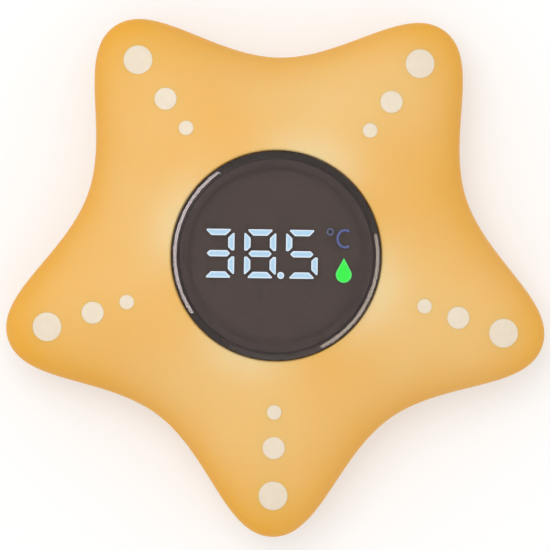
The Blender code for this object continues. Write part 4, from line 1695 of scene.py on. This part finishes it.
@dataclass(frozen=True)
class BatteryDoor:
    """Round door, flush with the back, with sunk screws and a moulded grip ring."""

    back: BackShell
    screw: Screw
    edge: float = 0.3 * MM
    sink: float = 0.2 * MM
    hole_edge: float = 0.25 * MM
    shank_clearance: float = 0.3 * MM
    groove_radius: float = 9.0 * MM
    groove_width: float = 0.7 * MM
    groove_depth: float = 0.25 * MM
    sides: int = 192
    hole_sides: int = 48
    sharp_degrees: float = 30.0

    def profile(self) -> np.ndarray:
        """Draws the door's profile, with a shallow ring in its outer face.

        Returns:
            Rows of radius and height.
        """
        top = box_of("battery_door")[1]
        half = self.groove_width / 2
        ring, depth = self.groove_radius, self.groove_depth
        face = [(0.0, 0.0), (ring - half, 0.0), (ring - half / 2, depth), (ring + half / 2, depth)]
        face += [(ring + half, 0.0), (top.x, 0.0), (top.x, top.z), (0.0, top.z)]
        return softened(face, self.edge)

    def holes(self) -> Skin:
        """Makes the cutter of the three sunk holes, each with a softened rim.

        Returns:
            The skins of the holes.
        """
        skin = Skin()
        wide = self.screw.head_radius + self.shank_clearance
        narrow = self.screw.shank_radius + self.shank_clearance
        sunk = self.sink + self.screw.head_height + CAD_GAP
        line = [(wide + self.hole_edge + CUT, -CUT), (wide, self.hole_edge), (wide, sunk)]
        line += [(narrow, sunk), (narrow, box_of("battery_door")[1].z + CUT)]
        for place in screw_places("door_screw"):
            skin.turn(np.array(line), self.hole_sides, place)
        return skin

    def build(self) -> None:
        """Builds and dresses the door and its screws."""
        piece = Skin().turn(self.profile(), self.sides).made("battery_door_moulding", self.sharp_degrees)
        worked(piece, [(Cut.AWAY, self.holes())], self.sharp_degrees)
        # The door takes the back's blend: base tone, with the painted edge shade all but gone this low.
        write_values(piece, "tone_and_painted_light", self.back.tone_and_painted_light(coordinates(piece)))
        dress(piece, BODY_PLASTIC.made(), Slot.BODY, ["battery_door"])
        for number in SCREWS:
            self.screw.build("door_screw", number)


@dataclass(frozen=True)
class Probe:
    """Steel cap of the sensor and the two water contacts beside it."""

    flange_height: float = 0.8 * MM
    flange_width: float = 0.8 * MM
    wall: float = 0.6 * MM
    edge: float = 0.5 * MM
    pin_radius: float = 0.8 * MM
    pin_flange: float = 0.6 * MM
    steel: Colour = (200, 201, 204)
    roughness: float = 0.2
    sides: int = 96
    cap_steps: int = 6
    pin_steps: int = 5

    def flanges(self) -> dict[str, float]:
        """Lists the pieces that stand in the back shell's holes.

        Returns:
            The width of the flange of each, by its node's name.
        """
        widths = {"probe_cap": self.flange_width}
        for side in ("left", "right"):
            widths[f"water_contact_{side}"] = self.pin_flange
        return widths

    def cap(self, floor: float) -> None:
        """Builds the cap.

        Args:
            floor: Height of the back's inner face.
        """
        low, high = box_of("probe_cap")
        centre, radius = centre_of("probe_cap"), radius_of("probe_cap") - self.flange_width
        flange = floor + CAD_GAP
        bore = radius - self.wall
        line = [
            (0.0, low.z),
            (radius, low.z),
            (radius, flange),
            (radius + self.flange_width, flange),
            (radius + self.flange_width, flange + self.flange_height),
            (radius, flange + self.flange_height),
            (radius, high.z),
            (bore, high.z),
            (bore, low.z + self.wall),
            (0.0, low.z + self.wall),
        ]
        finish = TurnedSteel("probe_steel", self.steel, centre, roughness=self.roughness)
        skin = Skin().turn(softened(line, self.edge, steps=self.cap_steps), self.sides, centre)
        dress(skin.made("probe_cap_drawn"), finish.made(), Slot.PROBE, ["probe_cap"])

    def pin(self, side: str, floor: float) -> None:
        """Builds one water contact.

        Args:
            side: Last part of the node's name.
            floor: Height of the back's inner face.
        """
        node = f"water_contact_{side}"
        low, high = box_of(node)
        centre, radius = centre_of(node), radius_of(node) - self.pin_flange
        flange = floor + CAD_GAP
        line = [
            (0.0, low.z),
            (radius, low.z),
            (radius, flange),
            (radius + self.pin_flange, flange),
            (radius + self.pin_flange, flange + self.flange_height),
            (self.pin_radius, flange + self.flange_height),
            (self.pin_radius, high.z),
            (0.0, high.z),
        ]
        finish = TurnedSteel(f"{node}_steel", self.steel, centre, roughness=self.roughness)
        skin = Skin().turn(softened(line, self.edge / 2, steps=self.pin_steps), self.sides, centre)
        dress(skin.made(node + "_turned"), finish.made(), Slot.PROBE, [node])

    def build(self, floor: float) -> None:
        """Builds and dresses the cap and both contacts.

        Args:
            floor: Height of the back's inner face.
        """
        self.cap(floor)
        for side in ("left", "right"):
            self.pin(side, floor)


@dataclass(frozen=True)
class Inside:
    """Pieces inside the body, which keep their solids and get their own finishes."""

    screw: Screw

    def build(self) -> None:
        """Dresses the pieces inside and builds the board's screws."""
        paint(["circuit_board"], LAMINATE.made(), Slot.BOARD)
        paint(["processor"], CHIP_RESIN.made(), Slot.CHIP)
        paint(["battery_cell"], CELL_STEEL.made(), Slot.CELL)
        paint(["contact_positive", "contact_negative"], BRASS.made(), Slot.BRASS)
        paint(["door_seal"], SEAL_RUBBER.made(), Slot.SEAL)
        paint(["temperature_sensor"], BEAD_RESIN.made(), Slot.RESIN)
        for number in SCREWS:
            self.screw.build("board_screw", number)


# Studio


@dataclass(frozen=True)
class Lamp:
    """Rectangular soft lamp that looks at the middle of the part."""

    name: str
    azimuth_degrees: float
    elevation_degrees: float
    distance: float
    width: float
    height: float
    radiance: float
    colour: Colour = (255, 255, 255)

    def build(self, target: Vector) -> None:
        """Hangs the lamp.

        Args:
            target: Point that it looks at.
        """
        data = bpy.data.lights.new(self.name, "AREA")
        data.shape = "RECTANGLE"
        data.size, data.size_y = self.width, self.height
        data.energy = self.radiance * math.pi * self.width * self.height
        data.color = linear(self.colour)[:3]
        lamp = bpy.data.objects.new(self.name, data)
        azimuth, elevation = math.radians(self.azimuth_degrees), math.radians(self.elevation_degrees)
        away = Vector((
            math.cos(azimuth) * math.cos(elevation),
            math.sin(azimuth) * math.cos(elevation),
            math.sin(elevation),
        ))
        lamp.location = target + away * self.distance
        lamp.rotation_euler = away.to_track_quat("Z", "Y").to_euler()
        bpy.context.scene.collection.objects.link(lamp)


LAMPS = (
    Lamp("key_lamp", 125.0, 71.0, 0.9, 0.5, 0.5, 2.05),
    Lamp("left_lamp", 170.0, -0.07, 1.8, 3.6, 0.016, 15.0, (255, 238, 238)),
    Lamp("right_lamp", -25.0, -0.07, 1.8, 2.83, 0.016, 10.0, (255, 236, 218)),
)


@dataclass(frozen=True)
class Studio:
    """Pale floor, soft lamps, plain surroundings and the camera of the photograph."""

    picture: int = 550
    millimetres_per_pixel: float = 0.16713
    centre_pixel: Point = (276.3, 255.9)
    roll_degrees: float = 0.8
    distance: float = 2.4
    sensor: float = 36.0
    measured_height: float = 9.0 * MM
    clip: Point = (0.01, 20.0)
    lamp_target: float = 12.0 * MM
    floor_thickness: float = 0.02
    floor_roughness: float = 0.9
    floor_half: float = 6.0
    floor_colour: Colour = (215, 215, 215)
    floor_glow: float = 0.37
    sky_light: float = 0.79

    def camera(self) -> None:
        """Sets the camera straight above the part, turned as in the photograph."""
        data = bpy.data.cameras.new("camera")
        data.sensor_width = self.sensor
        span = self.picture * self.millimetres_per_pixel * MM
        data.lens = self.sensor * self.distance / span
        data.clip_start, data.clip_end = self.clip
        camera = bpy.data.objects.new("camera", data)
        scale = self.millimetres_per_pixel * MM
        right = (self.picture / 2 - self.centre_pixel[0]) * scale
        up = (self.centre_pixel[1] - self.picture / 2) * scale
        roll = math.radians(self.roll_degrees)
        x = right * math.cos(roll) - up * math.sin(roll)
        y = right * math.sin(roll) + up * math.cos(roll)
        camera.location = (x, y, self.measured_height + self.distance)
        camera.rotation_euler = Euler((0.0, 0.0, roll))
        bpy.context.scene.collection.objects.link(camera)
        bpy.context.scene.camera = camera

    def floor(self) -> None:
        """Lays the floor, which keeps the part's shadow."""
        half = self.floor_half
        corners = np.array([(half, half), (-half, half), (-half, -half), (half, -half)])
        skin = Skin().loft([at_height(corners, -self.floor_thickness), at_height(corners, 0.0)])
        floor = skin.made("studio_floor")
        bench = Bench("studio_floor")
        bench.hold(Base_Color=linear(self.floor_colour))
        bench.hold(Roughness=self.floor_roughness, Specular_IOR_Level=0.0)
        bench.hold(Emission_Color=(1.0, 1.0, 1.0, 1.0))
        lift = bench.add("Math", operation="MULTIPLY")
        bench.wire(seen(bench.tree), lift.inputs[0])
        lift.inputs[1].default_value = self.floor_glow
        bench.wire(lift.outputs[0], bench.shader.inputs["Emission Strength"])
        floor.data.materials.append(bench.material)

    def sky(self) -> None:
        """Sets surroundings that look white and light the part softly."""
        world = bpy.data.worlds.new("studio_sky")
        world.use_nodes = True
        bpy.context.scene.world = world
        tree = world.node_tree
        background = tree.nodes["Background"]
        background.inputs["Color"].default_value = (1.0, 1.0, 1.0, 1.0)
        strength = tree.nodes.new("ShaderNodeMapRange")
        strength.inputs["To Min"].default_value = self.sky_light
        strength.inputs["To Max"].default_value = 1.0
        tree.links.new(seen(tree), strength.inputs["Value"])
        tree.links.new(strength.outputs["Result"], background.inputs["Strength"])

    def build(self) -> None:
        """Builds the whole studio."""
        self.camera()
        self.floor()
        self.sky()
        for lamp in LAMPS:
            lamp.build(Vector((0.0, 0.0, self.lamp_target)))
        bpy.context.scene.view_settings.view_transform = "Standard"


def main() -> None:
    logging.basicConfig(level=logging.INFO, format="%(name)s: %(message)s")
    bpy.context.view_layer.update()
    form = StarForm()
    spots = Spots(form)
    screw = Screw()
    probe = Probe()
    Studio().build()
    FrontShell(form, spots).build()
    back = BackShell(form, probe)
    back.build()
    spots.build()
    Window().build()
    Marks().build()
    BatteryDoor(back, screw).build()
    probe.build(form.wall)
    Inside(screw).build()


if __name__ == "__main__":
    main()
